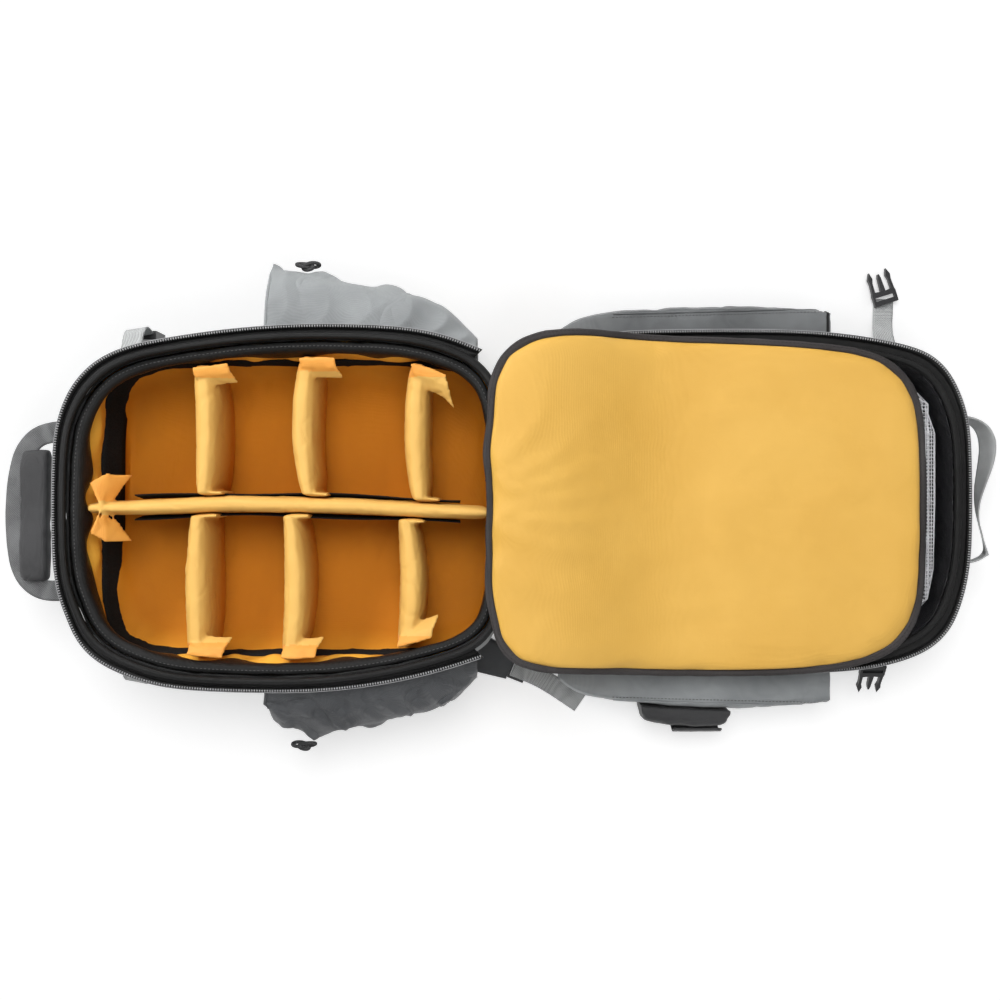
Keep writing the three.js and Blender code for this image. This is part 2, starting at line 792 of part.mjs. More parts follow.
const lockPlace = {
  x: strapEnd.x + lockOut * Math.cos(strapTurn),
  y: strapEnd.y + lockOut * Math.sin(strapTurn),
};
const lock = add("ladder_lock", "plastic", ladderLock());
lock.rotation.z = strapTurn - Math.PI / 2;
lock.position.set(lockPlace.x, lockPlace.y, 2);

// The webbing tail that leaves the ladder lock and lies past the lid's side pocket
const onLock = 2 + buckleThickness + gap + webbingThickness / 2;
const tailRoute = [
  { x: lockPlace.x - 6, y: lockPlace.y + 3, z: onLock },
  { x: lockPlace.x + 12, y: lockPlace.y - 4, z: onLock },
  { x: lockPlace.x + 27, y: lockPlace.y - 12, z: 4 },
  { x: lockPlace.x + 44, y: lockPlace.y - 23, z: 1.4 },
  { x: lockPlace.x + 66, y: lockPlace.y - 38, z: 1.2 },
];
add("strap_tail", "webbing", ribbon(crosswise(tailRoute), webbingWidth, webbingThickness));

// Bottle pockets: bellows of cloth against the base's long walls, open towards the pack's top.
// along is a share of the pocket's length from its mouth, and reach of its greatest reach.
const bottlePockets = {
  bottle_pocket_upper: {
    side: 1,
    rows: [
      { along: 0, reach: 0.97, fold: 0.06 },
      { along: 0.1, reach: 1.0, fold: -0.05 },
      { along: 0.25, reach: 0.9, fold: 0.05 },
      { along: 0.42, reach: 0.8, fold: -0.04 },
      { along: 0.58, reach: 0.74, fold: 0.05 },
      { along: 0.74, reach: 0.66, fold: -0.03 },
      { along: 0.85, reach: 0.54, fold: 0.02 },
      { along: 1, reach: 0.22, fold: 0 },
    ],
  },
  bottle_pocket_lower: {
    side: -1,
    rows: [
      { along: 0, reach: 0.55, fold: 0.08 },
      { along: 0.08, reach: 0.72, fold: -0.09 },
      { along: 0.2, reach: 0.82, fold: 0.08 },
      { along: 0.36, reach: 0.79, fold: -0.07 },
      { along: 0.5, reach: 0.7, fold: 0.05 },
      { along: 0.68, reach: 0.62, fold: -0.04 },
      { along: 0.86, reach: 0.5, fold: 0.03 },
      { along: 1, reach: 0.24, fold: 0 },
    ],
  },
};
const pocketCorner = 40; // from the base's hinge end to the pocket's end
const pocketFrom = base.x + base.length / 2 - pocketCorner - bottlePocketLength;
const pocketSeat = 2.6 * gap;
const pocketBottom = baseFloor + 8;
const bulge = [0, 0.12, 0.28, 0.5, 0.72, 0.88, 1];

function bottlePocket({ side, rows }) {
  const grid = finer(rows, 0.09).map((row) => {
    const x = pocketFrom + row.along * bottlePocketLength;
    return bulge.map((up, j) => {
      const z = pocketBottom + up * bottlePocketHeight;
      const wall = sideAt(base, deeper(wallAt(z), -pocketSeat - bottlePocketWall / 2), x, side);
      const out = Math.sin(Math.PI * up) ** 0.6 * (row.reach + (j % 2 ? row.fold : -row.fold));
      return new THREE.Vector3(x, wall + side * out * bottlePocketReach, z);
    });
  });
  return thickSheet(grid, bottlePocketWall);
}
for (const [name, pocket] of Object.entries(bottlePockets)) {
  add(name, pocket.side > 0 ? "greyCloth" : "darkCloth", bottlePocket(pocket));
}

// The drawcord's knot outside each pocket mouth
function drawcord({ side, rows }) {
  const x = pocketFrom + rows[1].along * bottlePocketLength + 14;
  const z = pocketBottom + bottlePocketHeight / 2;
  const wall = sideAt(base, wallAt(z), x, side);
  const outs = [x - 12, x + 12].map((end) => {
    const row = rowAt(rows, (end - pocketFrom) / bottlePocketLength);
    return (row.reach + row.fold) * bottlePocketReach;
  });
  const out = Math.max(...outs);
  const y = wall + side * (out + bottlePocketWall + pocketSeat);
  const at = (dx, dy, dz) => [x + dx, y + side * dy, z + dz];
  return tube(
    [at(-12, 1.8, 0), at(-3, 6.4, 6), at(7, 8, 3), at(12, 1.8, -1), at(3, 5, -6), at(-4, 7.2, -14)],
    2,
    14,
  );
}
add("drawcord_upper", "plastic", drawcord(bottlePockets.bottle_pocket_upper));
add("drawcord_lower", "plastic", drawcord(bottlePockets.bottle_pocket_lower));

// The lid: a shallow tray with its rim up
const lidWall = inset(zipStand);
const lidFoot = inset(zipStand + 6);
function lidBody() {
  return loft([
    loopAt(lid, deeper(lidFoot, 4), 0),
    loopAt(lid, lidFoot, 3),
    loopAt(lid, lidWall, 14),
    loopAt(lid, lidWall, lidDepth),
    loopAt(lid, deeper(lidWall, clothWall), lidDepth),
    loopAt(lid, deeper(lidWall, clothWall), 14),
    loopAt(lid, deeper(lidFoot, clothWall), 3 + clothWall),
  ]);
}

const lidLiningWall = 2.2;
function lidLining() {
  const outside = deeper(lidWall, clothWall + gap);
  return loft([
    loopAt(lid, deeper(lidFoot, clothWall + gap + 2), 3 + clothWall + gap),
    loopAt(lid, outside, 15 + gap),
    loopAt(lid, outside, lidDepth),
    loopAt(lid, deeper(outside, lidLiningWall), lidDepth),
    loopAt(lid, deeper(outside, lidLiningWall + 1.5), 15 + gap),
    loopAt(lid, deeper(lidFoot, clothWall + gap + 6), 3 + clothWall + gap + lidLiningWall),
  ]);
}
add("lid_body", "greyCloth", lidBody());
add("lid_lining", "blackCloth", lidLining());
add("lid_zip", "blackCloth", edgeBand(lid, zipProfile(lidDepth), -0.86));
const lidPipe = inset(zipStand + 2.2);
const lidPipeProfile = roundProfile(lidPipe, lidDepth + gap + pipingRadius, pipingRadius, 6);
add("lid_piping", "blackCloth", edgeBand(lid, lidPipeProfile));

// The mesh pocket inside the lid: height is a share of its own height
const meshHeight = 50;
const meshRows = [
  { along: 0, height: 1 },
  { along: 0.5, height: 1 },
  { along: 0.8, height: 1 },
  { along: 0.93, height: 0.97 },
  { along: 0.98, height: 0.8 },
  { along: 1, height: 0.4 },
  { along: 0.99, height: 0.06 },
];
const meshColumns = [
  { across: -0.95, height: 0 },
  { across: -1, height: 0.4 },
  { across: -0.98, height: 0.75 },
  { across: -0.88, height: 1 },
  { across: -0.62, height: 1 },
  { across: 0, height: 1 },
  { across: 0.62, height: 1 },
  { across: 0.88, height: 1 },
  { across: 0.98, height: 0.75 },
  { across: 1, height: 0.4 },
  { across: 0.95, height: 0 },
];
function meshPocket() {
  const nearWall = deeper(lidWall, clothWall + lidLiningWall + 5);
  const nearFoot = deeper(lidWall, clothWall + lidLiningWall + 12);
  const floor = 3 + clothWall + 2 * gap + lidLiningWall;
  const [from, to] = [lid.x, endAt(lid, nearWall, 1)];
  const grid = meshRows.map((row) => {
    const atX = THREE.MathUtils.lerp(from, to, row.along);
    const sideX = Math.min(atX, to - 20);
    const [low, high] = [sideAt(lid, nearWall, sideX, -1), sideAt(lid, nearWall, sideX, 1)];
    return meshColumns.map((column) => {
      const y = (low + high) / 2 + (column.across * (high - low)) / 2;
      const up = column.height * row.height;
      const x = Math.min(atX, topAt(lid, up > 0.2 ? nearWall : nearFoot, y) - meshWall);
      return new THREE.Vector3(x, y, floor + up * meshHeight);
    });
  });
  return thickSheet(grid, meshWall);
}
add("mesh_pocket", "mesh", meshPocket());

// The cloth hinge that joins the two halves under the panel
function hingeGusset() {
  const top = baseRim - 4;
  const foot = lidDepth - 6;
  const from = endAt(base, deeper(wallAt(top), -gap - 1.2), -1);
  const to = endAt(lid, deeper(lidWall, -gap - 1.2), -1);
  const rows = [0, 0.3, 0.6, 0.85, 1].map((share) => {
    const z = THREE.MathUtils.lerp(top, foot, share) - 9 * Math.sin(Math.PI * share);
    const half = 0.43 * lidWidth * 0.8;
    return [-1, -0.5, 0, 0.5, 1].map(
      (across) =>
        new THREE.Vector3(THREE.MathUtils.lerp(from, to, share), lid.y + across * half, z),
    );
  });
  return thickSheet(rows, 2);
}
add("hinge_gusset", "blackCloth", hingeGusset());

// The padded panel: it slopes from the base's rim down to the lid's rim
function panelZ(x) {
  const share = THREE.MathUtils.smoothstep(x, panelFall.from, panelFall.to);
  return THREE.MathUtils.lerp(baseTop + gap, lidTop + gap, share);
}
const onPanel = (point) => point.setZ(point.z + panelZ(point.x));
const panelLoop = (depth, z) => loopAt(panel, inset(depth), z).map(onPanel);

function panelPad() {
  const edge = bindingWidth + gap;
  return loft([
    panelLoop(edge + 8, 0),
    panelLoop(edge, 1.6),
    panelLoop(edge, panelThickness - 2),
    panelLoop(edge + 10, panelThickness),
  ]);
}
function panelBinding() {
  const profile = [
    [inset(bindingWidth), 1.6],
    [inset(2), 1],
    [inset(0), panelThickness / 2],
    [inset(2), panelThickness - 1.4],
    [inset(bindingWidth), panelThickness - 1.6],
  ];
  const rings = panel.points.map((share, i) =>
    profile.map(([wall, z]) => onPanel(loopAt(panel, wall, z)[i])),
  );
  return loft(rings, { closed: true });
}
add("panel_pad", "amberCloth", panelPad());
add("panel_binding", "binding", panelBinding());

// The lid's zipped side pockets: along from the hinge end, reach and rise as shares
const sidePocketRows = [
  { along: 0, reach: 0.78, rise: 0.82, lift: 0.12 },
  { along: 0.04, reach: 0.86, rise: 0.92, lift: 0.12 },
  { along: 0.14, reach: 0.9, rise: 1, lift: 0.12 },
  { along: 0.3, reach: 0.95, rise: 1, lift: 0 },
  { along: 0.65, reach: 1, rise: 1, lift: 0 },
  { along: 1, reach: 0.96, rise: 0.97, lift: 0 },
];
const sidePocketSection = [
  { out: 0, up: 0.05 },
  { out: 0.8, up: 0 },
  { out: 1, up: 0.15 },
  { out: 1, up: 0.8 },
  { out: 0.88, up: 1 },
  { out: 0, up: 0.97 },
];
const sidePocketStart = 0.155; // from the lid's hinge end to the pockets, as a share of its half length
const sidePocketFrom = lid.x - (1 - sidePocketStart) * (lidLength / 2);
function sidePocket(side, reach) {
  const rings = finer(sidePocketRows, 0.045).map((row) => {
    const x = sidePocketFrom + row.along * sidePocketLength;
    const wall = sideAt(lid, deeper(lidWall, -pocketSeat), x, side);
    return sidePocketSection.map(({ out, up }) => {
      const y = wall + side * out * row.reach * reach;
      const height = Math.max(up * row.rise, row.lift);
      return new THREE.Vector3(x, y, 1 + height * sidePocketHeight);
    });
  });
  return loft(rings);
}
add("side_pocket_upper", "greyCloth", sidePocket(1, sidePocketReach.upper));
add("side_pocket_lower", "darkCloth", sidePocket(-1, sidePocketReach.lower));

// A sheath of black cloth on the lower side pocket, and its folded flap
const sheathFrom = sidePocketFrom + 0.305 * sidePocketLength;
const sheathLength = 92;
const sheathDepth = 20;
function sheath() {
  const pocketOut = (x) => {
    const share = (x - sidePocketFrom) / sidePocketLength;
    const wall = sideAt(lid, deeper(lidWall, -pocketSeat), x, -1);
    return wall - rowAt(sidePocketRows, share).reach * sidePocketReach.lower;
  };
  const rows = [
    { along: 0, deep: 0.7 },
    { along: 0.08, deep: 0.95 },
    { along: 0.5, deep: 1 },
    { along: 0.92, deep: 0.95 },
    { along: 1, deep: 0.6 },
  ];
  const rings = rows.map((row) => {
    const x = sheathFrom + row.along * sheathLength;
    const y = pocketOut(x) - 2 * gap;
    const out = y - row.deep * sheathDepth;
    return [
      new THREE.Vector3(x, y, 8),
      new THREE.Vector3(x, out + 3, 8),
      new THREE.Vector3(x, out, 14),
      new THREE.Vector3(x, out, 44),
      new THREE.Vector3(x, out + 4, 52),
      new THREE.Vector3(x, y, 52),
    ];
  });
  const middle = sheathFrom + sheathLength / 2;
  return { body: loft(rings), out: pocketOut(middle) - 2 * gap - sheathDepth };
}
const sheathParts = sheath();
add("sheath", "blackCloth", sheathParts.body);
const flapFrom = sheathFrom + 0.38 * sheathLength;
add(
  "sheath_flap",
  "blackCloth",
  thickSheet(
    [0, 0.3, 0.75, 1].map((share) =>
      [0, 0.5, 1].map((part) => {
        const out = sheathParts.out - 1 - gap - 9 * Math.sin(Math.PI * (0.1 + 0.8 * part));
        return new THREE.Vector3(flapFrom + share * 50, out + 2.8 - 0.5, 18 + 24 * part);
      }),
    ),
    2,
  ),
);

// Side-release buckles: the male half has two springing prongs and a guide between them
function maleBuckle() {
  const half = buckleWidth / 2;
  const body = new THREE.Shape();
  const right = [
    [half, 0],
    [half, 12],
    [half - 0.8, 15],
    [half - 1.4, 25],
    [half - 0.6, 30],
    [half - 3.6, 37],
    [half - 5.6, 30],
    [half - 4.2, 25],
    [half - 4, 15],
    [2.4, 14],
    [1.6, 29],
    [0.6, 33],
  ];
  const left = right.map(([x, y]) => [-x, y]).reverse();
  const corners = [...right, ...left];
  body.setFromPoints(corners.map(([x, y]) => new THREE.Vector2(x, y)));
  const slot = new THREE.Path();
  const slotCorners = [
    [-half + 2.5, 5],
    [half - 2.5, 5],
    [half - 2.5, 9],
    [-half + 2.5, 9],
  ];
  slot.setFromPoints(slotCorners.map(([x, y]) => new THREE.Vector2(x, y)));
  body.holes.push(slot);
  return new THREE.ExtrudeGeometry(body, { depth: buckleThickness, bevelEnabled: false });
}
const femaleDepth = 9;
function femaleBuckle() {
  const half = buckleWidth / 2;
  const shell = box([-half, 0, 0], [half, 30, femaleDepth]);
  const mouth = box([-half + 2.5, 16, 2], [half - 2.5, 31, 7]);
  return cut(shell, mouth);
}

// Webbing and buckle on the lid's side, at a share of the half length, with the drop of the
// strap as heights above the floor
function lidStrap(name, side, share, routeShape, finish) {
  const x = lid.x + share * (lidLength / 2);
  const onWall = deeper(lidWall, -gap - webbingThickness / 2);
  const wall = sideAt(lid, onWall, x + routeShape[0].slide, side);
  const rows = routeShape.map(({ out, z, slide }) => ({ x: x + slide, y: wall + side * out, z }));
  const run = runAt(lid, lidWall, rows[0].x, side, webbingWidth);
  const across = rows.map((row, i) => ({ ...row, across: i < 2 ? run : [1, 0, 0] }));
  add(name, finish, ribbon(across, webbingWidth, webbingThickness));
  return rows[rows.length - 1];
}
const buckleLap = 6; // how far the webbing runs under its buckle
const upperDrop = [
  { out: 0.35, z: 64, slide: -6 },
  { out: 4, z: 52, slide: -6 },
  { out: 20, z: 27, slide: -3 },
  { out: 36, z: 9, slide: 0 },
  { out: 54, z: 3, slide: 3 },
  { out: 72, z: 2.2, slide: 4 },
];
const upperEnd = lidStrap("buckle_strap_upper", 1, 0.7, upperDrop, "webbing");
const upperTurn = 0.3; // how far the upper buckle is turned on the floor, in radians
const upperBuckle = add("male_buckle_upper", "plastic", maleBuckle());
upperBuckle.rotation.z = upperTurn;
upperBuckle.position.set(
  upperEnd.x + buckleLap * Math.sin(upperTurn),
  upperEnd.y - buckleLap * Math.cos(upperTurn),
  upperEnd.z + webbingThickness / 2 + 2 * gap,
);

const lowerDrop = [
  { out: 0.3, z: 66, slide: 0 },
  { out: 4, z: 57, slide: 0 },
  { out: 11, z: 50, slide: 0 },
  { out: 19, z: 44.3, slide: 0 },
];
const lowerEnd = lidStrap("buckle_strap_lower", -1, 0.597, lowerDrop, "webbing");
const lowerTurn = 0.62; // how far the lower buckle hangs below level, in radians
const lowerBuckle = add("male_buckle_lower", "plastic", maleBuckle());
lowerBuckle.rotation.set(-lowerTurn, 0, Math.PI, "ZXY");
const lowerLift = webbingThickness / 2 + gap;
lowerBuckle.position.set(
  lowerEnd.x,
  lowerEnd.y + buckleLap * Math.cos(lowerTurn) - lowerLift * Math.sin(lowerTurn),
  lowerEnd.z + buckleLap * Math.sin(lowerTurn) + lowerLift * Math.cos(lowerTurn),
);

// Compression straps on the base's sides, near the pack's top, with their female halves
const baseStrapShare = 0.68;
function baseStrap(side, flare) {
  const x = base.x - baseStrapShare * (baseLength / 2);
  const wall = (z) => sideAt(base, deeper(wallAt(z), -gap - webbingThickness / 2), x, side);
  const shape = [
    { z: baseRim - 12, out: 0.45 },
    { z: baseRim - 22, out: 18 * flare },
    { z: baseRim - 34, out: 26 * flare },
    { z: baseRim - 52, out: 22 * flare },
  ];
  const rows = shape.map((row) => ({
    x,
    y: wall(row.z) + side * row.out,
    z: row.z,
    across: runAt(base, wallAt(row.z), x, side, webbingWidth),
  }));
  return { geometry: ribbon(rows, webbingWidth, webbingThickness), end: rows[rows.length - 1] };
}
const baseStraps = [
  { word: "upper", side: 1, flare: 0.85 },
  { word: "lower", side: -1, flare: 0.6 },
];
for (const { word, side, flare } of baseStraps) {
  const strap = baseStrap(side, flare);
  add(`base_strap_${word}`, "webbing", strap.geometry);
  const buckle = add(`female_buckle_${word}`, "plastic", femaleBuckle());
  buckle.rotation.set(-Math.PI / 2, 0, 0);
  buckle.position.set(strap.end.x, strap.end.y - femaleDepth / 2, strap.end.z - gap);
}

// The grab handle at the pack's top: flat webbing, whose inner edge runs through a padded grip.
// out is from the base's wall, aside from its middle line.
const grabHeight = baseRim - 24;
const grabRows = [
  { out: 0.9, aside: 74, up: 6 },
  { out: 18, aside: 76, up: 1 },
  { out: 40, aside: 74, up: 0 },
  { out: 55, aside: 58, up: 0 },
  { out: 61, aside: 28, up: 0 },
  { out: 63, aside: -4, up: 0 },
  { out: 62, aside: -38, up: 0 },
  { out: 57, aside: -68, up: 0 },
  { out: 40, aside: -83, up: 0 },
  { out: 18, aside: -82, up: 1 },
  { out: 0.9, aside: -76, up: 6 },
];
const grabSpan = 10; // Y each side of a place where the wall's slope is read

function fromTopWall({ out, aside, up }) {
  const [z, y] = [grabHeight + up, base.y + aside];
  return { x: topAt(base, wallAt(z), y) - out - gap, y, z };
}
const grab = crosswise(grabRows.map(fromTopWall));
for (const row of [grab[0], grab[grab.length - 1]]) {
  const slope = [row.y - grabSpan, row.y + grabSpan].map((y) => topAt(base, wallAt(row.z), y));
  row.across = [slope[1] - slope[0], 2 * grabSpan, 0];
}
grab[grab.length - 1].across = grab[grab.length - 1].across.map((value) => -value);
add("grab_webbing", "webbing", ribbon(grab, webbingWidth, webbingThickness));

const gripHalf = { wide: 15, high: 10 };
const gripRows = [
  { out: 41, aside: 58, share: 0.8 },
  { out: 43, aside: 51, share: 1 },
  { out: 43, aside: 22, share: 1 },
  { out: 43.5, aside: -5, share: 0.96 },
  { out: 44, aside: -30, share: 1 },
  { out: 44, aside: -66, share: 1 },
  { out: 43, aside: -72, share: 0.8 },
];
function grabGrip() {
  const rings = gripRows.map((row) => {
    const x = endAt(base, wallAt(grabHeight), 1) - row.out;
    return Array.from({ length: 10 }, (_, i) => {
      const angle = (2 * Math.PI * (i + 0.5)) / 10;
      const [dx, dz] = [Math.cos(angle), Math.sin(angle)].map((v) => Math.sign(v) * Math.abs(v) ** 0.6);
      return new THREE.Vector3(
        x + dx * row.share * gripHalf.wide,
        base.y + row.aside,
        grabHeight + dz * row.share * gripHalf.high,
      );
    });
  });
  const tunnel = ribbon(grab, webbingWidth + 2 * gap, webbingThickness + 2 * gap);
  return cut(loft(rings), tunnel);
}
add("grab_grip", "darkCloth", grabGrip());

// The webbing loop at the lid's end
const loopHeight = 56;
const loopReach = 1.65; // how far the loop stands out, as a multiple of dx
const loopRows = [
  { dx: 0, y: 84, across: [0, 0, 1] },
  { dx: 12, y: 86, across: [0, 0.15, 1] },
  { dx: 25, y: 76, across: [0.4, 0, 1] },
  { dx: 28, y: 50, across: [0.5, 0, 1] },
  { dx: 22, y: 18, across: [0.2, 0, 1] },
  { dx: 17, y: -12, across: [-0.4, 0, 1] },
  { dx: 22, y: -40, across: [-0.5, 0, 1] },
  { dx: 24, y: -56, across: [-0.25, 0, 1] },
  { dx: 14, y: -66, across: [0, 0.1, 1] },
  { dx: 0, y: -64, across: [0, 0, 1] },
];
const loopEnds = [loopRows[0].y, loopRows[loopRows.length - 1].y];
const loopX = loopEnds.map((y) => topAt(lid, lidWall, y) + 1.5 * gap);
add(
  "lid_loop",
  "webbing",
  ribbon(
    loopRows.map((row, i) => {
      const from = i < loopRows.length / 2 ? loopX[0] : loopX[1];
      return { ...row, x: from + row.dx * loopReach, z: loopHeight };
    }),
    webbingWidth,
    webbingThickness,
  ),
);

// The origin is the middle of the footprint, on the floor.
const whole = new THREE.Group();
whole.add(pack);
whole.updateMatrixWorld(true);
const bounds = new THREE.Box3().setFromObject(pack, true);
pack.position.set(
  -(bounds.min.x + bounds.max.x) / 2,
  -(bounds.min.y + bounds.max.y) / 2,
  -bounds.min.z,
);

export default whole;
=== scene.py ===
"""An open fishing backpack seen from above: padded amber dividers and panel, grey and black cloth,
zips, webbing, buckles and mesh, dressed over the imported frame. Metres, +Z up."""

import json
import math

import bmesh
import bpy
import numpy as np
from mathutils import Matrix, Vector, noise
from mathutils.bvhtree import BVHTree

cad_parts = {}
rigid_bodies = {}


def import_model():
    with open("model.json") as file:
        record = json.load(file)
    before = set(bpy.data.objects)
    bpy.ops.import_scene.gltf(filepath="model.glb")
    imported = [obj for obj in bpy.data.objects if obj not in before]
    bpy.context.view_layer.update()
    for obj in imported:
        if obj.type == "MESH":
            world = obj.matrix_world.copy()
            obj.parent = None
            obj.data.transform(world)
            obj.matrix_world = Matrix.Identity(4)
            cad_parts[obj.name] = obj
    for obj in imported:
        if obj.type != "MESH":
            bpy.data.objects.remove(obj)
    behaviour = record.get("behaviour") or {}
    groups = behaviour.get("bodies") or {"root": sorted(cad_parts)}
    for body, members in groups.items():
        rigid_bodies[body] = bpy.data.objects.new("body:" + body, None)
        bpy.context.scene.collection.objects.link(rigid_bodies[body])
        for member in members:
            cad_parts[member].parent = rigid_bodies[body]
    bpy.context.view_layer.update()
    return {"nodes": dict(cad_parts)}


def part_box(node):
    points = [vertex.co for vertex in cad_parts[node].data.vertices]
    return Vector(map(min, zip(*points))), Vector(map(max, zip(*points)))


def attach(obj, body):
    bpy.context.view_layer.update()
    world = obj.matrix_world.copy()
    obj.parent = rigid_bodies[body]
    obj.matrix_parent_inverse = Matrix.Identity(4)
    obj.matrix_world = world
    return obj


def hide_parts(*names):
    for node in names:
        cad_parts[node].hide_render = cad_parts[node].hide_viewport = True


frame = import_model()

MM = 0.001
BODY = "root"

# The camera looks straight down. It stands over a point just inside the panel's left end.
CAMERA_FROM_PANEL_END = 17 * MM
CAMERA_FROM_PANEL_MIDDLE = 5 * MM
CAMERA_ABOVE_ZIP = 1.05
VIEW_WIDTH_AT_ZIP = 0.97
SENSOR = 36.0


# Mesh tools


def link(name, mesh):
    piece = bpy.data.objects.new(name, mesh)
    bpy.context.scene.collection.objects.link(piece)
    return piece


def points_of(piece):
    flat = np.empty(len(piece.data.vertices) * 3)
    piece.data.vertices.foreach_get("co", flat)
    return flat.reshape(-1, 3)


def normals_of(piece):
    return np.array([v.normal[:] for v in piece.data.vertices])


def set_points(piece, points):
    piece.data.vertices.foreach_set("co", points.ravel())
    piece.data.update()


def shade_smooth(piece):
    piece.data.polygons.foreach_set("use_smooth", [True] * len(piece.data.polygons))


def dress(piece, material, slot, *nodes):
    """Gives a piece its material and its rigid body, and hides the CAD nodes it stands for. The slot
    argument is not used.
    """
    piece.data.materials.clear()
    piece.data.materials.append(material)
    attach(piece, BODY)
    if nodes:
        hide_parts(*nodes)
    return piece


def bake_modifiers(piece):
    shaped = piece.evaluated_get(bpy.context.evaluated_depsgraph_get())
    mesh = bpy.data.meshes.new_from_object(shaped)
    piece.modifiers.clear()
    piece.data = mesh
    return piece


def copy_of(node, name):
    """A welded copy of a CAD node's mesh, with its triangles joined to quads again."""
    source = frame["nodes"][node]
    mesh = source.data.copy()
    shape = bmesh.new()
    shape.from_mesh(mesh)
    bmesh.ops.transform(shape, matrix=source.matrix_world, verts=shape.verts)
    bmesh.ops.remove_doubles(shape, verts=shape.verts, dist=5e-6)
    bmesh.ops.recalc_face_normals(shape, faces=shape.faces)
    bmesh.ops.join_triangles(
        shape, faces=shape.faces, angle_face_threshold=math.radians(40),
        angle_shape_threshold=math.radians(180),
    )
    shape.to_mesh(mesh)
    shape.free()
    return link(name, mesh)


def crease_edges(piece, angle):
    """Marks the edges that turn by more than an angle, so that subdivision keeps them."""
    shape = bmesh.new()
    shape.from_mesh(piece.data)
    crease = shape.edges.layers.float.new("crease_edge")
    for edge in shape.edges:
        if len(edge.link_faces) == 2 and edge.calc_face_angle(0) > angle:
            edge[crease] = 1.0
    shape.to_mesh(piece.data)
    shape.free()


def subdivide(piece, levels):
    modifier = piece.modifiers.new("subdivision", "SUBSURF")
    modifier.levels = modifier.render_levels = levels
    return bake_modifiers(piece)


def turbulence(point, size, seed):
    place = Vector(point) / size + Vector((seed * 7.3, seed * 3.1, seed * 5.7))
    return noise.fractal(place, 0.9, 2.1, 3)


def crumple(piece, depth, size, seed, stretch=(1, 1, 1)):
    """Moves a surface along its normals by smooth noise: slack, soft folds."""
    points = points_of(piece)
    scaled = points * np.array(stretch)
    moves = np.array([turbulence(p, size, seed) for p in scaled])
    set_points(piece, points + normals_of(piece) * (moves * depth)[:, None])
    return piece


def creases(piece, depth, size, seed, stretch=(1, 1, 1)):
    """Sharper folds: the valleys of a ridged noise are pressed in."""
    points = points_of(piece)
    scaled = points * np.array(stretch)
    moves = np.array([abs(turbulence(p, size, seed)) for p in scaled])
    dents = np.clip(1 - moves * 5, 0, 1) ** 2
    set_points(piece, points - normals_of(piece) * (dents * depth)[:, None])
    return piece


def spline(points, closed, per=8):
    """A smooth curve that follows a polygon as a subdivided mesh does."""
    points = np.asarray(points)
    count = len(points)
    if closed:
        padded = np.vstack([points[-1:], points, points[:2]])
        spans = count
    else:
        first = 2 * points[0] - points[1]
        last = 2 * points[-1] - points[-2]
        padded = np.vstack([[first], points, [last]])
        spans = count - 1
    curve = []
    for i in range(spans):
        a, b, c, d = padded[i : i + 4]
        for t in np.arange(per) / per:
            weights = ((1 - t) ** 3, 3 * t**3 - 6 * t**2 + 4, -3 * t**3 + 3 * t**2 + 3 * t + 1, t**3)
            curve.append((weights[0] * a + weights[1] * b + weights[2] * c + weights[3] * d) / 6)
    if not closed:
        curve.append(points[-1])
    return np.array(curve)


def even(curve, step, closed):
    """The curve again with points an even step apart."""
    loop = np.vstack([curve, curve[:1]]) if closed else curve
    lengths = np.linalg.norm(np.diff(loop, axis=0), axis=1)
    along = np.concatenate([[0], np.cumsum(lengths)])
    count = max(2, round(along[-1] / step))
    at = np.linspace(0, along[-1], count, endpoint=not closed)
    return np.column_stack([np.interp(at, along, loop[:, k]) for k in range(3)])


def hull_of(points):
    """The indices of the points on the outside of a flat cloud, in order round it."""
    order = sorted(range(len(points)), key=lambda i: (points[i][0], points[i][1]))

    def half(indices):
        kept = []
        for i in indices:
            while len(kept) > 1 and turn_of(points[kept[-2]], points[kept[-1]], points[i]) <= 1e-9:
                kept.pop()
            kept.append(i)
        return kept[:-1]

    return half(order) + half(order[::-1])


def turn_of(a, b, c):
    return (b[0] - a[0]) * (c[1] - a[1]) - (b[1] - a[1]) * (c[0] - a[0])


# A wider step than this between two points of an outline is its open end.
OPENING = 90 * MM


def rim_of(node):
    """The outermost points of a ring-shaped node, in order round it, and whether it closes."""
    points = points_of(frame["nodes"][node])
    ring = points[hull_of(points)]
    steps = np.linalg.norm(np.roll(ring, -1, axis=0) - ring, axis=1)
    widest = int(np.argmax(steps))
    closed = steps[widest] < OPENING
    if not closed:
        ring = np.roll(ring, -(widest + 1), axis=0)
    return ring, closed


def inward(path, depth, lift, closed):
    """A path moved in towards the middle of its outline, and up."""
    if closed:
        run = np.roll(path, -1, axis=0) - np.roll(path, 1, axis=0)
    else:
        run = np.gradient(path, axis=0)
    side = np.column_stack([-run[:, 1], run[:, 0], np.zeros(len(run))])
    side /= np.linalg.norm(side, axis=1)[:, None]
    moved = path + side * depth
    moved[:, 2] += lift
    return moved


def rim_path(node, depth, lift, step=4 * MM):
    """A path some way in from a piece's outline, laid on the piece from above."""
    ring, closed = rim_of(node)
    ring[:, 2] = 0
    curve = even(inward(spline(ring, closed), depth, 0, closed), step, closed)
    return laid_on(bpy.data.objects[node + "_cloth"], curve[:, :2], lift), closed


def laid_on(piece, places, lift=0.1 * MM):
    """Points dropped from above on to a piece."""
    tree = BVHTree.FromPolygons(
        [v.co for v in piece.data.vertices], [tuple(f.vertices) for f in piece.data.polygons]
    )
    hits = [tree.ray_cast(Vector((x, y, 1)), Vector((0, 0, -1)))[0] for x, y in places]
    return np.array([(hit.x, hit.y, hit.z + lift) for hit in hits if hit is not None])


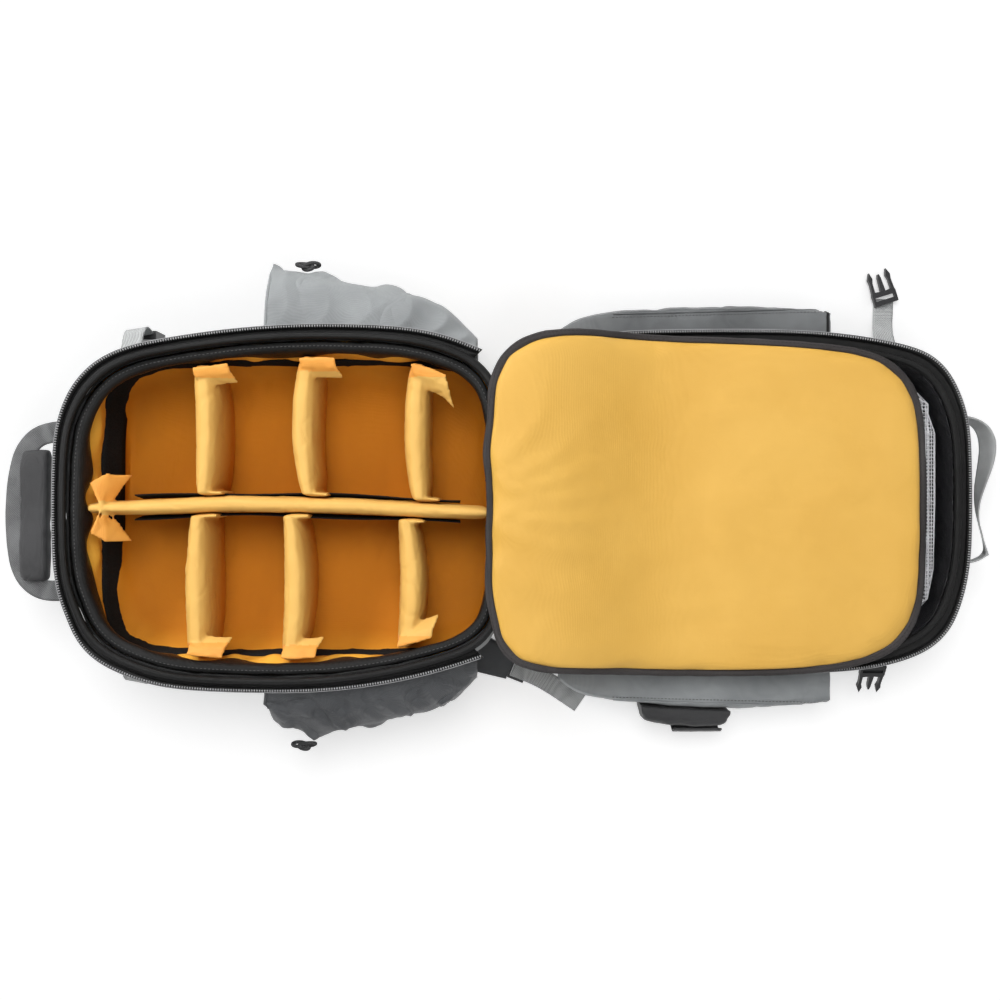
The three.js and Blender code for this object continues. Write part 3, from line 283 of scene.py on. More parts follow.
def frames_along(path, closed, up=(0, 0, 1)):
    """The run, side and upward directions at each point of a path."""
    run = np.roll(path, -1, axis=0) - np.roll(path, 1, axis=0) if closed else np.gradient(path, axis=0)
    run /= np.linalg.norm(run, axis=1)[:, None]
    up = np.broadcast_to(np.asarray(up, float), run.shape)
    side = np.cross(up, run)
    side /= np.linalg.norm(side, axis=1)[:, None]
    return run, side, np.cross(run, side)


def repeated(name, path, closed, unit_points, unit_faces, up=(0, 0, 1)):
    """One mesh with a small unit set at each point of a path, in the path's own directions."""
    run, side, top = frames_along(path, closed, up)
    unit = np.asarray(unit_points)
    points = (
        path[:, None]
        + unit[None, :, :1] * run[:, None]
        + unit[None, :, 1:2] * side[:, None]
        + unit[None, :, 2:] * top[:, None]
    ).reshape(-1, 3)
    faces = [
        [corner + k * len(unit) for corner in face] for k in range(len(path)) for face in unit_faces
    ]
    mesh = bpy.data.meshes.new(name)
    mesh.from_pydata(points.tolist(), [], faces)
    return link(name, mesh)


def capsule(length, width, height, sink=0.3):
    """A small rounded bar: a stitch or a zip tooth, as an eight-sided dome with its foot sunk in."""
    ring = [(-0.5, 0), (-0.35, 0.4), (0, 0.5), (0.35, 0.4), (0.5, 0), (0.35, -0.4), (0, -0.5), (-0.35, -0.4)]
    foot = [(x * length, y * width, -sink * height) for x, y in ring]
    top = [(x * length * 0.75, y * width * 0.7, (1 - sink) * height) for x, y in ring]
    sides = [(i, (i + 1) % 8, 8 + (i + 1) % 8, 8 + i) for i in range(8)]
    return foot + top, sides + [tuple(range(8, 16)), tuple(range(7, -1, -1))]


def stitches(name, path, closed, material, slot, length=2.6 * MM, up=(0, 0, 1)):
    unit = capsule(length, 0.8 * MM, 0.7 * MM)
    piece = repeated(name, path, closed, *unit, up=up)
    shade_smooth(piece)
    return dress(piece, material, slot)


# Materials


class Looks:
    """A node tree being built, with short names for what the cloths share."""

    def __init__(self, name):
        self.material = bpy.data.materials.new(name)
        self.material.use_nodes = True
        self.tree = self.material.node_tree
        self.shader = self.tree.nodes["Principled BSDF"]
        self.place = self.add("ShaderNodeTexCoord").outputs["Object"]

    def add(self, kind, **settings):
        node = self.tree.nodes.new(kind)
        for key, value in settings.items():
            setattr(node, key, value)
        return node

    def join(self, out, into):
        self.tree.links.new(out, into)

    def noise(self, size, detail=3.0):
        node = self.add("ShaderNodeTexNoise")
        node.inputs["Scale"].default_value = 1 / size
        node.inputs["Detail"].default_value = detail
        self.join(self.place, node.inputs["Vector"])
        return node.outputs["Fac"]

    def wave(self, direction, pitch, distortion=0.6):
        node = self.add("ShaderNodeTexWave", bands_direction=direction)
        node.inputs["Scale"].default_value = 0.314 / pitch
        node.inputs["Distortion"].default_value = distortion
        node.inputs["Detail Scale"].default_value = 1.0
        self.join(self.place, node.inputs["Vector"])
        return node.outputs["Fac"]

    def math(self, operation, a, b):
        node = self.add("ShaderNodeMath", operation=operation)
        for socket, value in zip(node.inputs, (a, b)):
            if isinstance(value, (int, float)):
                socket.default_value = value
            else:
                self.join(value, socket)
        return node.outputs[0]

    def ramp(self, factor, stops):
        node = self.add("ShaderNodeValToRGB")
        elements = node.color_ramp.elements
        while len(elements) < len(stops):
            elements.new(0.5)
        for element, (at, colour) in zip(elements, stops):
            element.position = at
            element.color = (*colour, 1)
        self.join(factor, node.inputs["Fac"])
        return node.outputs["Color"]

    def bump(self, height, distance, strength=1.0, under=None):
        node = self.add("ShaderNodeBump")
        node.inputs["Distance"].default_value = distance
        node.inputs["Strength"].default_value = strength
        self.join(height, node.inputs["Height"])
        if under is not None:
            self.join(under, node.inputs["Normal"])
        self.join(node.outputs["Normal"], self.shader.inputs["Normal"])
        return node.outputs["Normal"]


def cloth(
    name, dark, light, roughness, pitch, weave=0.00012, sheen=0.0, patch=0.08, crumb=0.0004, shine=0.5
):
    """Woven cloth: two close shades in soft patches, a plain weave, and slack between threads."""
    looks = Looks(name)
    patches = looks.noise(patch)
    threads = looks.math("ADD", looks.wave("X", pitch), looks.wave("Y", pitch))
    threads = looks.math("ADD", threads, looks.wave("Z", pitch))
    shade = looks.math("ADD", patches, looks.math("MULTIPLY", threads, 0.05))
    looks.join(looks.ramp(shade, [(0.3, dark), (0.75, light)]), looks.shader.inputs["Base Color"])
    soft = looks.bump(looks.noise(0.012, 2.0), crumb)
    looks.bump(threads, weave, 1.0, soft)
    looks.shader.inputs["Roughness"].default_value = roughness
    looks.shader.inputs["Specular IOR Level"].default_value = shine
    looks.shader.inputs["Sheen Weight"].default_value = sheen
    looks.shader.inputs["Sheen Roughness"].default_value = 0.4
    return looks.material


def cloth_with_painted_shade_below(name, low, high, from_height, to_height, shine):
    """Amber cloth with painted shade: its colour runs from deep orange, low down, where shade and light
    bounced off the amber cloth are painted, to pale at the top.
    """
    looks = Looks(name)
    parts = looks.add("ShaderNodeSeparateXYZ")
    looks.join(looks.place, parts.inputs["Vector"])
    rise = looks.math("SUBTRACT", parts.outputs["Z"], from_height)
    rise = looks.math("DIVIDE", rise, to_height - from_height)
    patches = looks.math("SUBTRACT", looks.noise(0.05), 0.5)
    rise = looks.math("ADD", rise, looks.math("MULTIPLY", patches, 0.25))
    # Painted shade: the ramp runs from the deep shaded colour low down to the pale lit colour at the top.
    looks.join(looks.ramp(rise, [(0.0, low), (1.0, high)]), looks.shader.inputs["Base Color"])
    threads = looks.math("ADD", looks.wave("X", 0.8 * MM), looks.wave("Y", 0.8 * MM))
    threads = looks.math("ADD", threads, looks.wave("Z", 0.8 * MM))
    soft = looks.bump(looks.noise(0.012, 2.0), 0.0003)
    looks.bump(threads, 0.00006, 1.0, soft)
    looks.shader.inputs["Roughness"].default_value = 0.58
    looks.shader.inputs["Specular IOR Level"].default_value = shine
    return looks.material


def webbing_material(name, dark, light):
    """Twill webbing: slanting ribs close together, a little paler where they stand up."""
    looks = Looks(name)
    ribs = looks.wave("DIAGONAL", 0.9 * MM, 2.0)
    fine = looks.wave("Z", 0.6 * MM, 0.5)
    height = looks.math("ADD", ribs, looks.math("MULTIPLY", fine, 0.4))
    patches = looks.math("MULTIPLY", looks.noise(0.02), 0.4)
    shade = looks.math("ADD", looks.math("MULTIPLY", height, 0.5), patches)
    looks.join(looks.ramp(shade, [(0.2, dark), (0.8, light)]), looks.shader.inputs["Base Color"])
    looks.bump(height, 0.0003)
    looks.shader.inputs["Roughness"].default_value = 0.75
    return looks.material


def napped(name, dark, light):
    """Hook-and-loop band: a fuzz of tiny loops."""
    looks = Looks(name)
    fuzz = looks.noise(0.0011, 4.0)
    looks.join(looks.ramp(fuzz, [(0.3, dark), (0.8, light)]), looks.shader.inputs["Base Color"])
    looks.bump(fuzz, 0.0005)
    looks.shader.inputs["Roughness"].default_value = 0.95
    looks.shader.inputs["Specular IOR Level"].default_value = 0.1
    return looks.material


def plastic(name, colour, roughness):
    looks = Looks(name)
    grain = looks.noise(0.0012, 2.0)
    shade = looks.ramp(looks.noise(0.015), [(0.2, colour), (0.9, tuple(c * 1.5 for c in colour))])
    looks.join(shade, looks.shader.inputs["Base Color"])
    looks.bump(grain, 0.00004)
    looks.shader.inputs["Roughness"].default_value = roughness
    return looks.material


GREY = cloth("grey_pack_cloth", (0.14, 0.148, 0.152), (0.3, 0.315, 0.32), 0.48, 0.9 * MM, sheen=0.1)
DARK = cloth("dark_pack_cloth", (0.028, 0.03, 0.033), (0.08, 0.084, 0.09), 0.42, 0.9 * MM, sheen=0.08)
SIDE = cloth("side_pocket_cloth", (0.17, 0.182, 0.187), (0.3, 0.315, 0.322), 0.5, 0.9 * MM, sheen=0.1)
SIDE_DARK = cloth(
    "side_pocket_dark_cloth", (0.07, 0.074, 0.076), (0.16, 0.168, 0.172), 0.45, 0.9 * MM, sheen=0.1
)
BLACK = cloth("black_cloth", (0.004, 0.004, 0.004), (0.012, 0.012, 0.012), 0.36, 0.9 * MM, shine=0.22)
SHEATH = cloth("sheath_cloth", (0.014, 0.014, 0.015), (0.035, 0.035, 0.037), 0.5, 0.9 * MM, sheen=0.1)
LINING_BLACK = cloth("black_lining", (0.012, 0.012, 0.0135), (0.026, 0.026, 0.029), 0.3, 0.8 * MM)
AMBER = cloth(
    "amber_cloth", (0.64, 0.355, 0.051), (0.7, 0.405, 0.07), 0.58, 0.8 * MM,
    weave=0.00006, sheen=0.08, patch=0.12, crumb=0.0003,
)
# Inside the base the cloth is seen by light that it has coloured itself: painted shade and painted bounced
# amber light, deeper towards the floor.
AMBER_WALLS_PAINTED_SHADE = cloth_with_painted_shade_below("amber_walls_painted_shade", (0.5, 0.17, 0.009), (0.87, 0.45, 0.06), 0.045, 0.1, 0.1)
# The dividers carry the same painted shade: deep orange low down, pale at their tops.
AMBER_DIVIDERS_PAINTED_SHADE = cloth_with_painted_shade_below(
    "amber_dividers_painted_shade", (0.56, 0.21, 0.015), (0.76, 0.45, 0.115), 0.055, 0.117, 0.3
)
# The tabs' deeper orange is painted light, shone through the thin cloth and bounced off the amber walls.
AMBER_TABS_PAINTED_LIGHT = cloth(
    "amber_tabs_painted_light", (0.78, 0.3, 0.04), (0.85, 0.38, 0.06), 0.6, 0.8 * MM,
    weave=0.00006, sheen=0.08, patch=0.03, crumb=0.0003,
)
BINDING = cloth("binding_tape", (0.028, 0.024, 0.024), (0.055, 0.05, 0.05), 0.8, 0.8 * MM, shine=0.3)
WEBBING = webbing_material("grey_webbing", (0.17, 0.175, 0.175), (0.54, 0.55, 0.55))
DARK_WEBBING = webbing_material("dark_webbing", (0.04, 0.04, 0.041), (0.19, 0.194, 0.197))
BAND = napped("hook_and_loop", (0.006, 0.006, 0.006), (0.02, 0.021, 0.021))
PLASTIC = plastic("black_plastic", (0.012, 0.012, 0.013), 0.38)
ZIP = plastic("zip_coil", (0.3, 0.3, 0.305), 0.4)
NET = plastic("pale_net", (0.62, 0.62, 0.64), 0.6)
KNOT = webbing_material("knotted_cord", (0.01, 0.01, 0.01), (0.06, 0.06, 0.062))
BLACK_THREAD = plastic("black_thread", (0.012, 0.012, 0.012), 0.7)
GREY_THREAD = plastic("grey_thread", (0.06, 0.06, 0.06), 0.7)
PALE_CORD = plastic("pale_cord", (0.22, 0.22, 0.225), 0.6)


# Soft pieces from the CAD solids: node, material, slot, subdivision, crease angle in degrees,
# depth and size of the soft folds in mm, depth of the sharp folds in mm, seed

SOFT_PIECES = [
    ("base_body", GREY, "grey_cloth", 3, 70, 1.6, 45, 1.0, 1),
    # The lining carries painted shade, deeper towards the base's floor.
    ("base_lining", AMBER_WALLS_PAINTED_SHADE, "amber_cloth", 3, 100, 0.8, 34, 1.0, 2),
    ("base_facing", BLACK, "black_cloth", 3, 100, 0.7, 25, 0.0, 3),
    ("base_zip", BLACK, "black_cloth", 2, 60, 0.3, 60, 0.0, 4),
    ("base_piping", BLACK, "black_cloth", 2, 100, 0.35, 40, 0.0, 5),
    ("base_loop_band", BAND, "black_band", 2, 60, 0.4, 40, 0.0, 6),
    ("centre_strip_upper", BAND, "black_band", 3, 60, 0.3, 30, 0.0, 7),
    ("centre_strip_lower", BAND, "black_band", 3, 60, 0.3, 30, 0.0, 8),
    ("back_pad", DARK, "dark_cloth", 2, 100, 0.8, 30, 0.0, 9),
    ("shoulder_strap_upper", DARK, "dark_cloth", 3, 75, 0.3, 30, 0.0, 10),
    ("shoulder_strap_lower", DARK, "dark_cloth", 3, 75, 0.3, 30, 0.0, 11),
    ("bottle_pocket_upper", GREY, "grey_cloth", 3, 60, 1.2, 55, 1.2, 12),
    ("bottle_pocket_lower", DARK, "dark_cloth", 3, 60, 2.4, 36, 3.0, 13),
    ("lid_body", GREY, "grey_cloth", 3, 70, 1.4, 45, 0.8, 14),
    ("lid_lining", LINING_BLACK, "black_cloth", 3, 100, 0.9, 22, 0.8, 15),
    ("lid_zip", BLACK, "black_cloth", 2, 60, 0.3, 60, 0.0, 16),
    ("lid_piping", BLACK, "black_cloth", 2, 100, 0.35, 40, 0.0, 17),
    ("hinge_gusset", BLACK, "black_cloth", 3, 60, 1.5, 25, 1.5, 18),
    ("panel_binding", BINDING, "binding_tape", 2, 100, 0.5, 18, 0.0, 19),
    ("side_pocket_upper", SIDE_DARK, "grey_cloth", 3, 40, 1.4, 45, 1.2, 20),
    ("side_pocket_lower", SIDE, "dark_cloth", 3, 40, 1.6, 45, 1.2, 21),
    ("sheath", SHEATH, "black_cloth", 3, 75, 0.8, 18, 0.6, 22),
    ("sheath_flap", SHEATH, "black_cloth", 3, 60, 0.5, 15, 0.3, 23),
    ("strap_tail", WEBBING, "webbing", 3, 60, 0.2, 20, 0.0, 24),
    ("buckle_strap_upper", WEBBING, "webbing", 3, 60, 0.2, 20, 0.0, 25),
    ("buckle_strap_lower", WEBBING, "webbing", 3, 60, 0.2, 20, 0.0, 26),
    ("base_strap_upper", WEBBING, "webbing", 3, 60, 0.2, 20, 0.0, 27),
    ("base_strap_lower", WEBBING, "webbing", 3, 60, 0.2, 20, 0.0, 28),
    ("grab_webbing", DARK_WEBBING, "webbing", 3, 60, 0.2, 20, 0.0, 29),
    ("grab_grip", SHEATH, "dark_cloth", 3, 100, 0.7, 22, 0.8, 30),
    ("lid_loop", WEBBING, "webbing", 3, 60, 0.3, 20, 0.0, 31),
]


TRIMMED = ("base_body", "lid_body")
TRIM_HEIGHT = 9 * MM


def trim_top(piece, material, height):
    """The top edge of a wall is faced with another cloth."""
    piece.data.materials.append(material)
    top = points_of(piece)[:, 2].max() - height
    for face in piece.data.polygons:
        if face.center.z > top:
            face.material_index = 1


# The base is longer than it is wide, so turns round its middle are counted on a rounder shape.
ROUNDER = 1.2
SLACK_DEPTH = 5.5 * MM
SLACK_HEIGHT = 9 * MM
SLACK_WAVES = 21


def slack_wall(piece):
    """The lining sags out in waves between the facing and the hook-and-loop band."""
    band_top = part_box("base_loop_band")[1].z
    facing_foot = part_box("base_facing")[0].z
    low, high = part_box("base_lining")
    middle = np.array((low + high) / 2)
    points = points_of(piece)
    normals = normals_of(piece)
    height = (points[:, 2] - (band_top + facing_foot) / 2) / SLACK_HEIGHT
    bell = np.exp(-(height**2))
    to_middle = -(points[:, :2] - middle[:2])
    inside = (normals[:, :2] * to_middle).sum(1) > 0
    turn = np.arctan2(to_middle[:, 1] * ROUNDER, to_middle[:, 0])
    wave = 0.5 + 0.5 * np.sin(turn * SLACK_WAVES + 2.0 * np.sin(turn * 5))
    points += normals * (bell * wave * inside * SLACK_DEPTH)[:, None]
    set_points(piece, points)


FACING_SEWN = 8 * MM
FACING_LOOSE = 14 * MM
EDGE_WAVES = 15


def wavy_edge(piece):
    """The facing's lower edge moves in and out where it is not sewn down."""
    low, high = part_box("base_facing")
    middle = (np.array(low) + np.array(high)) / 2
    points = points_of(piece)
    out = points[:, :2] - middle[:2]
    turn = np.arctan2(out[:, 1] * ROUNDER, out[:, 0])
    share = np.clip((high[2] - FACING_SEWN - points[:, 2]) / FACING_LOOSE, 0, 1)
    wave = 1.8 + 3.2 * np.sin(turn * EDGE_WAVES + 1.5 * np.sin(turn * 6))
    unit = out / np.linalg.norm(out, axis=1)[:, None]
    points[:, :2] += unit * (share * wave * MM)[:, None]
    set_points(piece, points)


def slanting_folds(piece, depth, pitch, lean):
    """Long soft folds that run slanting over a pocket, deeper towards its mouth."""
    points = points_of(piece)
    low, high = points.min(0), points.max(0)
    run = (points[:, 0] - low[0]) / (high[0] - low[0])
    phase = (points[:, 0] + lean * points[:, 1] - 0.5 * points[:, 2]) / pitch
    wave = np.sin(2 * math.pi * phase + 1.3 * np.sin(points[:, 1] * 60))
    ridge = 1 - np.abs(wave) * 1.6
    upward = np.abs(normals_of(piece)[:, 2]) ** 0.5
    points[:, 2] += ridge * depth * (0.35 + 0.65 * run) * upward
    set_points(piece, points)


def upper_pocket_folds(piece):
    slanting_folds(piece, 3.0 * MM, 84 * MM, -0.9)


def lower_pocket_folds(piece):
    slanting_folds(piece, 2.5 * MM, 60 * MM, 0.8)


def leaning_top(piece):
    """A strip beside the centre divider comes loose towards its top."""
    points = points_of(piece)
    low, high = points.min(0), points.max(0)
    middle = (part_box("base_lining")[0].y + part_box("base_lining")[1].y) / 2
    side = 1 if (low[1] + high[1]) / 2 > middle else -1
    rise = (points[:, 2] - low[2]) / (high[2] - low[2])
    loose = 2.6 + 1.2 * np.sin(points[:, 0] * 34 + 1.1)
    points[:, 1] += side * loose * MM * rise
    points[:, 2] += 2.5 * MM * rise
    set_points(piece, points)


NOTCH_DEPTH = 3.5 * MM
NOTCH_REACH = 60 * MM


def pulled_in(points):
    """The panel's left edge is pulled in where the dividers' middle line meets it."""
    low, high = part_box("panel_binding")
    middle = (low.y + high.y) / 2 - 4 * MM
    near = np.clip(1 - (points[:, 0] - low.x) / NOTCH_REACH, 0, 1) ** 2
    across = np.exp(-(((points[:, 1] - middle) / (32 * MM)) ** 2))
    ripple = 0.35 * np.sin(points[:, 1] * 95)
    points[:, 0] += near * (across + ripple * (1 - across)) * NOTCH_DEPTH
    return points


def notched(piece):
    set_points(piece, pulled_in(points_of(piece)))


def upright_creases(piece):
    """The lid's lining is sewn in with upright creases in its walls."""
    crumple(piece, 1.3 * MM, 13 * MM, 90, stretch=(1, 1, 0.12))


SHAPED = {
    "base_lining": slack_wall,
    "base_facing": wavy_edge,
    "bottle_pocket_upper": upper_pocket_folds,
    "bottle_pocket_lower": lower_pocket_folds,
    "lid_lining": upright_creases,
    "centre_strip_upper": leaning_top,
    "centre_strip_lower": leaning_top,
    "panel_binding": notched,
}


def above_floor(piece):
    points = points_of(piece)
    points[:, 2] = np.maximum(points[:, 2], 0.1 * MM)
    set_points(piece, points)


def soft_pieces():
    for node, material, slot, levels, crease, soft, size, sharp, seed in SOFT_PIECES:
        piece = copy_of(node, node + "_cloth")
        crease_edges(piece, math.radians(crease))
        subdivide(piece, levels)
        crumple(piece, soft * MM, size * MM, seed)
        if sharp:
            creases(piece, sharp * MM, 2.2 * size * MM, seed + 40)
        if node in SHAPED:
            SHAPED[node](piece)
        above_floor(piece)
        shade_smooth(piece)
        dress(piece, material, slot, node)
        if node in TRIMMED:
            trim_top(piece, BLACK, TRIM_HEIGHT)


# Padded boards: the dividers and the panel


def padded_board(node, voxel, puff, seed, wrinkle, wrinkle_size):
    """A sewn pad blown up by its own filling, its points held near where the frame has them."""
    piece = copy_of(node, node + "_pad")
    remesh = piece.modifiers.new("remesh", "REMESH")
    remesh.mode = "VOXEL"
    remesh.voxel_size = voxel
    bake_modifiers(piece)
    crumple(piece, wrinkle * 0.5, wrinkle_size, seed)
    puff_up(piece, puff)
    ease = piece.modifiers.new("ease", "SMOOTH")
    ease.factor = 0.5
    ease.iterations = 3
    bake_modifiers(piece)
    creases(piece, wrinkle * 0.5, wrinkle_size * 1.4, seed + 20)
    shade_smooth(piece)
    # The pads get painted shade, deeper towards their feet.
    dress(piece, AMBER_DIVIDERS_PAINTED_SHADE, "amber_cloth", node)
    return piece


def puff_up(piece, puff, upright=False):
    """Blows a closed piece up, and lets no point move further than puff."""
    start = points_of(piece)
    inflate(piece)
    moved = points_of(piece) - start
    if upright:
        moved[:, :2] = 0
    length = np.linalg.norm(moved, axis=1)
    held = start + moved * np.minimum(1, puff / np.maximum(length, 1e-9))[:, None]
    set_points(piece, held)


CLOTH_FRAMES = 14


def inflate(piece):
    modifier = piece.modifiers.new("cloth", "CLOTH")
    settings = modifier.settings
    settings.quality = 4
    settings.mass = 0.15
    settings.tension_stiffness = 12
    settings.compression_stiffness = 12
    settings.bending_stiffness = 0.6
    settings.use_pressure = True
    settings.uniform_pressure_force = 3.5
    settings.effector_weights.gravity = 0
    modifier.point_cache.frame_start = 1
    modifier.point_cache.frame_end = CLOTH_FRAMES
    scene = bpy.context.scene
    for number in range(1, CLOTH_FRAMES + 1):
        scene.frame_set(number)
    bake_modifiers(piece)
    scene.frame_set(1)


DIVIDERS = [f"cross_divider_{side}_{k}" for side in ("upper", "lower") for k in (1, 2, 3)]


def dividers():
    for seed, node in enumerate(DIVIDERS):
        piece = padded_board(node, 1.7 * MM, 2.2 * MM, 50 + seed, 1.2 * MM, 30 * MM)
        low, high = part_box(node)
        wall = high.y if "upper" in node else low.y
        colour_tabs(piece, lambda c: abs(c.y - wall) < 15 * MM and c.z > high.z - 24 * MM)
    piece = padded_board("centre_divider", 1.8 * MM, 1.2 * MM, 60, 0.8 * MM, 30 * MM)
    low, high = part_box("centre_divider")
    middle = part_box("base_lining")[0].y / 2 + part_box("base_lining")[1].y / 2
    colour_tabs(piece, lambda c: c.x < low.x + 44 * MM and abs(c.y - middle) > 7 * MM)


def colour_tabs(piece, is_tab):
    """The folded tabs at a divider's end are plain cloth, painted a deeper orange than the pads: painted
    light that shines through the thin cloth and bounces off the amber walls.
    """
    piece.data.materials.append(AMBER_TABS_PAINTED_LIGHT)
    for face in piece.data.polygons:
        if is_tab(face.center):
            face.material_index = 1


PANEL_AROUND = 160
PANEL_OUTWARD = 0.9 * MM
# Millimetres in from the edge, and above the pad's underside
PANEL_EDGE = [(0, 1.6), (0, 4.5), (0.4, 6.6), (1.6, 8.0), (4, 9.2), (8, 10.0), (14, 10.6), (22, 11.0)]
PANEL_RINGS = 34
UNDERSIDE_RISE = 0.4 * MM
CROWN_RISE = 11.2 * MM
SLOPE_STEPS = 200
EASED_OVER = 61


def panel():
    """One crowned pad that slopes from the base's rim to the lid's, sewn all round its edge."""
    outline, _ = rim_of("panel_pad")
    slope = panel_slope(outline)
    outline[:, 2] = 0
    around = inward(even(outline, 1 * MM, True), -PANEL_OUTWARD, 0, True)
    around = around[np.linspace(0, len(around), PANEL_AROUND, endpoint=False).astype(int)]
    middle = around.mean(0)
    reach = np.linalg.norm(around - middle, axis=1)
    rings = []
    for inset, rise in PANEL_EDGE:
        rings.append((1 - inset * MM / reach, rise * MM))
    last = rings[-1][0]
    for k in range(1, PANEL_RINGS):
        rings.append((last * (1 - k / PANEL_RINGS), CROWN_RISE))
    top = [ring_points(around, middle, share, rise, slope) for share, rise in rings]
    under = [ring_points(around, middle, share, UNDERSIDE_RISE, slope) for share, _ in rings[2:]]
    layers = under[::-1] + top
    caps = [middle_point(middle, UNDERSIDE_RISE, slope), middle_point(middle, CROWN_RISE, slope)]
    points = np.vstack(layers + caps)
    mesh = bpy.data.meshes.new("panel_pad_cloth")
    mesh.from_pydata(points.tolist(), [], panel_faces(len(layers)))
    piece = link("panel_pad_cloth", mesh)
    puff_up(piece, 1.5 * MM, upright=True)
    wrinkle_panel(piece, around, middle)
    subdivide(piece, 1)
    shade_smooth(piece)
    dress(piece, AMBER, "amber_cloth", "panel_pad")


def panel_slope(outline):
    """The height of the pad's underside from left to right, eased so that it has no kink."""
    corners = points_of(frame["nodes"]["panel_pad"])
    floor = [corners[np.hypot(*(corners[:, :2] - p[:2]).T) < 2e-5, 2].min() for p in outline]
    order = np.argsort(outline[:, 0])
    run = np.linspace(outline[:, 0].min(), outline[:, 0].max(), SLOPE_STEPS)
    fall = np.interp(run, outline[order, 0], np.array(floor)[order] - PANEL_EDGE[0][1] * MM)
    soft = np.hanning(EASED_OVER) / np.hanning(EASED_OVER).sum()
    longer = np.pad(fall, EASED_OVER // 2, mode="reflect", reflect_type="odd")
    return run, np.convolve(longer, soft, mode="valid")


def panel_faces(layers):
    """Quads between neighbouring rings, and a fan of triangles to the middle point of each side."""
    faces = []
    for i in range(layers - 1):
        for k in range(PANEL_AROUND):
            after = (k + 1) % PANEL_AROUND
            a, b = i * PANEL_AROUND, (i + 1) * PANEL_AROUND
            faces.append((a + k, a + after, b + after, b + k))
    under_middle = layers * PANEL_AROUND
    top_middle = under_middle + 1
    last = (layers - 1) * PANEL_AROUND
    for k in range(PANEL_AROUND):
        after = (k + 1) % PANEL_AROUND
        faces.append((after, k, under_middle))
        faces.append((last + k, last + after, top_middle))
    return faces


def ring_points(around, middle, share, rise, slope):
    points = middle + (around - middle) * np.reshape(share, (-1, 1))
    points[:, 2] = np.interp(points[:, 0], *slope) + rise
    return points


def middle_point(middle, rise, slope):
    return np.array([[middle[0], middle[1], np.interp(middle[0], *slope) + rise]])


FANS_FROM_OUTSIDE = 45 * MM
FOLDS_FROM = 50 * MM
FOLDS_REACH = 170 * MM
FOLDS_DEPTH = 2.2 * MM
PUCKERS = 130
PUCKER_REACH = 7 * MM
PUCKER_DEPTH = 0.35 * MM


def wrinkle_panel(piece, around, middle):
    """Soft folds fan out from the panel's left edge, and small puckers run along its seam."""
    points = points_of(piece)
    upward = np.clip(normals_of(piece)[:, 2], 0, 1)
    left = around[:, 0].min()
    source = np.array([left - FANS_FROM_OUTSIDE, middle[1] + 8 * MM])
    away = points[:, :2] - source
    angle = np.arctan2(away[:, 1], away[:, 0])
    reach = np.hypot(away[:, 0], away[:, 1])
    fade = np.clip(1 - (reach - FOLDS_FROM) / FOLDS_REACH, 0, 1) ** 1.6
    wave = angle * 11 + 1.2 * np.sin(reach * 24) + 2 * np.sin(angle * 3.3)
    folds = (1 - 2 * np.abs(np.sin(wave)) ** 0.7) * fade * FOLDS_DEPTH
    share = np.linalg.norm((points - middle)[:, :2], axis=1)
    turn = np.arctan2(points[:, 1] - middle[1], points[:, 0] - middle[0])
    rim = np.arctan2(around[:, 1] - middle[1], around[:, 0] - middle[0])
    sort = np.argsort(rim)
    rim_reach = np.linalg.norm((around - middle)[:, :2], axis=1)
    edge = np.interp(turn, rim[sort], rim_reach[sort], period=2 * math.pi)
    near_seam = np.exp(-(edge - share) / PUCKER_REACH)
    pucker = np.sin(turn * PUCKERS + 3 * np.sin(turn * 17)) * near_seam * PUCKER_DEPTH
    broad = np.array([turbulence(p, 0.11, 71) for p in points]) * 1.4 * MM
    broad += np.array([turbulence(p * np.array([1, 2.2, 1]), 0.05, 72) for p in points]) * 0.5 * MM
    points[:, 2] += (folds + pucker + broad) * upward
    set_points(piece, pulled_in(points))


# Zips, stitches and net


def zips():
    for node in ("base_zip", "lid_zip"):
        path, closed = rim_path(node, 2.75 * MM, 0, step=2.5 * MM)
        teeth = repeated(f"{node}_teeth", path, closed, *capsule(1.4 * MM, 2.6 * MM, 1.5 * MM, 0.4))
        shade_smooth(teeth)
        dress(teeth, ZIP, "black_cloth")
        edge, closed = rim_path(node, 0.8 * MM, 0, step=3 * MM)
        dress(thread(f"{node}_edge", edge, closed, 0.55 * MM), PALE_CORD, "black_cloth")


def thread(name, path, closed, radius, sides=6, up=(0, 0, 1)):
    """A round cord along a path."""
    _, side, top = frames_along(path, closed, up)
    turns = [2 * math.pi * k / sides for k in range(sides)]
    rings = [path + radius * (math.cos(t) * side + math.sin(t) * top) for t in turns]
    points = np.stack(rings, axis=1).reshape(-1, 3)
    count = len(path)
    spans = count if closed else count - 1
    faces = []
    for i in range(spans):
        here, ahead = i * sides, (i + 1) % count * sides
        for k in range(sides):
            after = (k + 1) % sides
            faces.append((here + k, here + after, ahead + after, ahead + k))
    mesh = bpy.data.meshes.new(name)
    mesh.from_pydata(points.tolist(), [], faces)
    piece = link(name, mesh)
    shade_smooth(piece)
    return piece


# Seams near a side pocket's outer edge stand further in towards the hinge
SEAM_INSET = 9 * MM
CORD_INSET = 5.5 * MM
SEAM_DRIFT = 8 * MM
SEAM_RUN = 280 * MM


def beside_edge(xs, low, edge, side, inset):
    drift = SEAM_DRIFT * (1 - (xs - low.x) / SEAM_RUN)
    return list(zip(xs, edge - side * (inset + drift)))


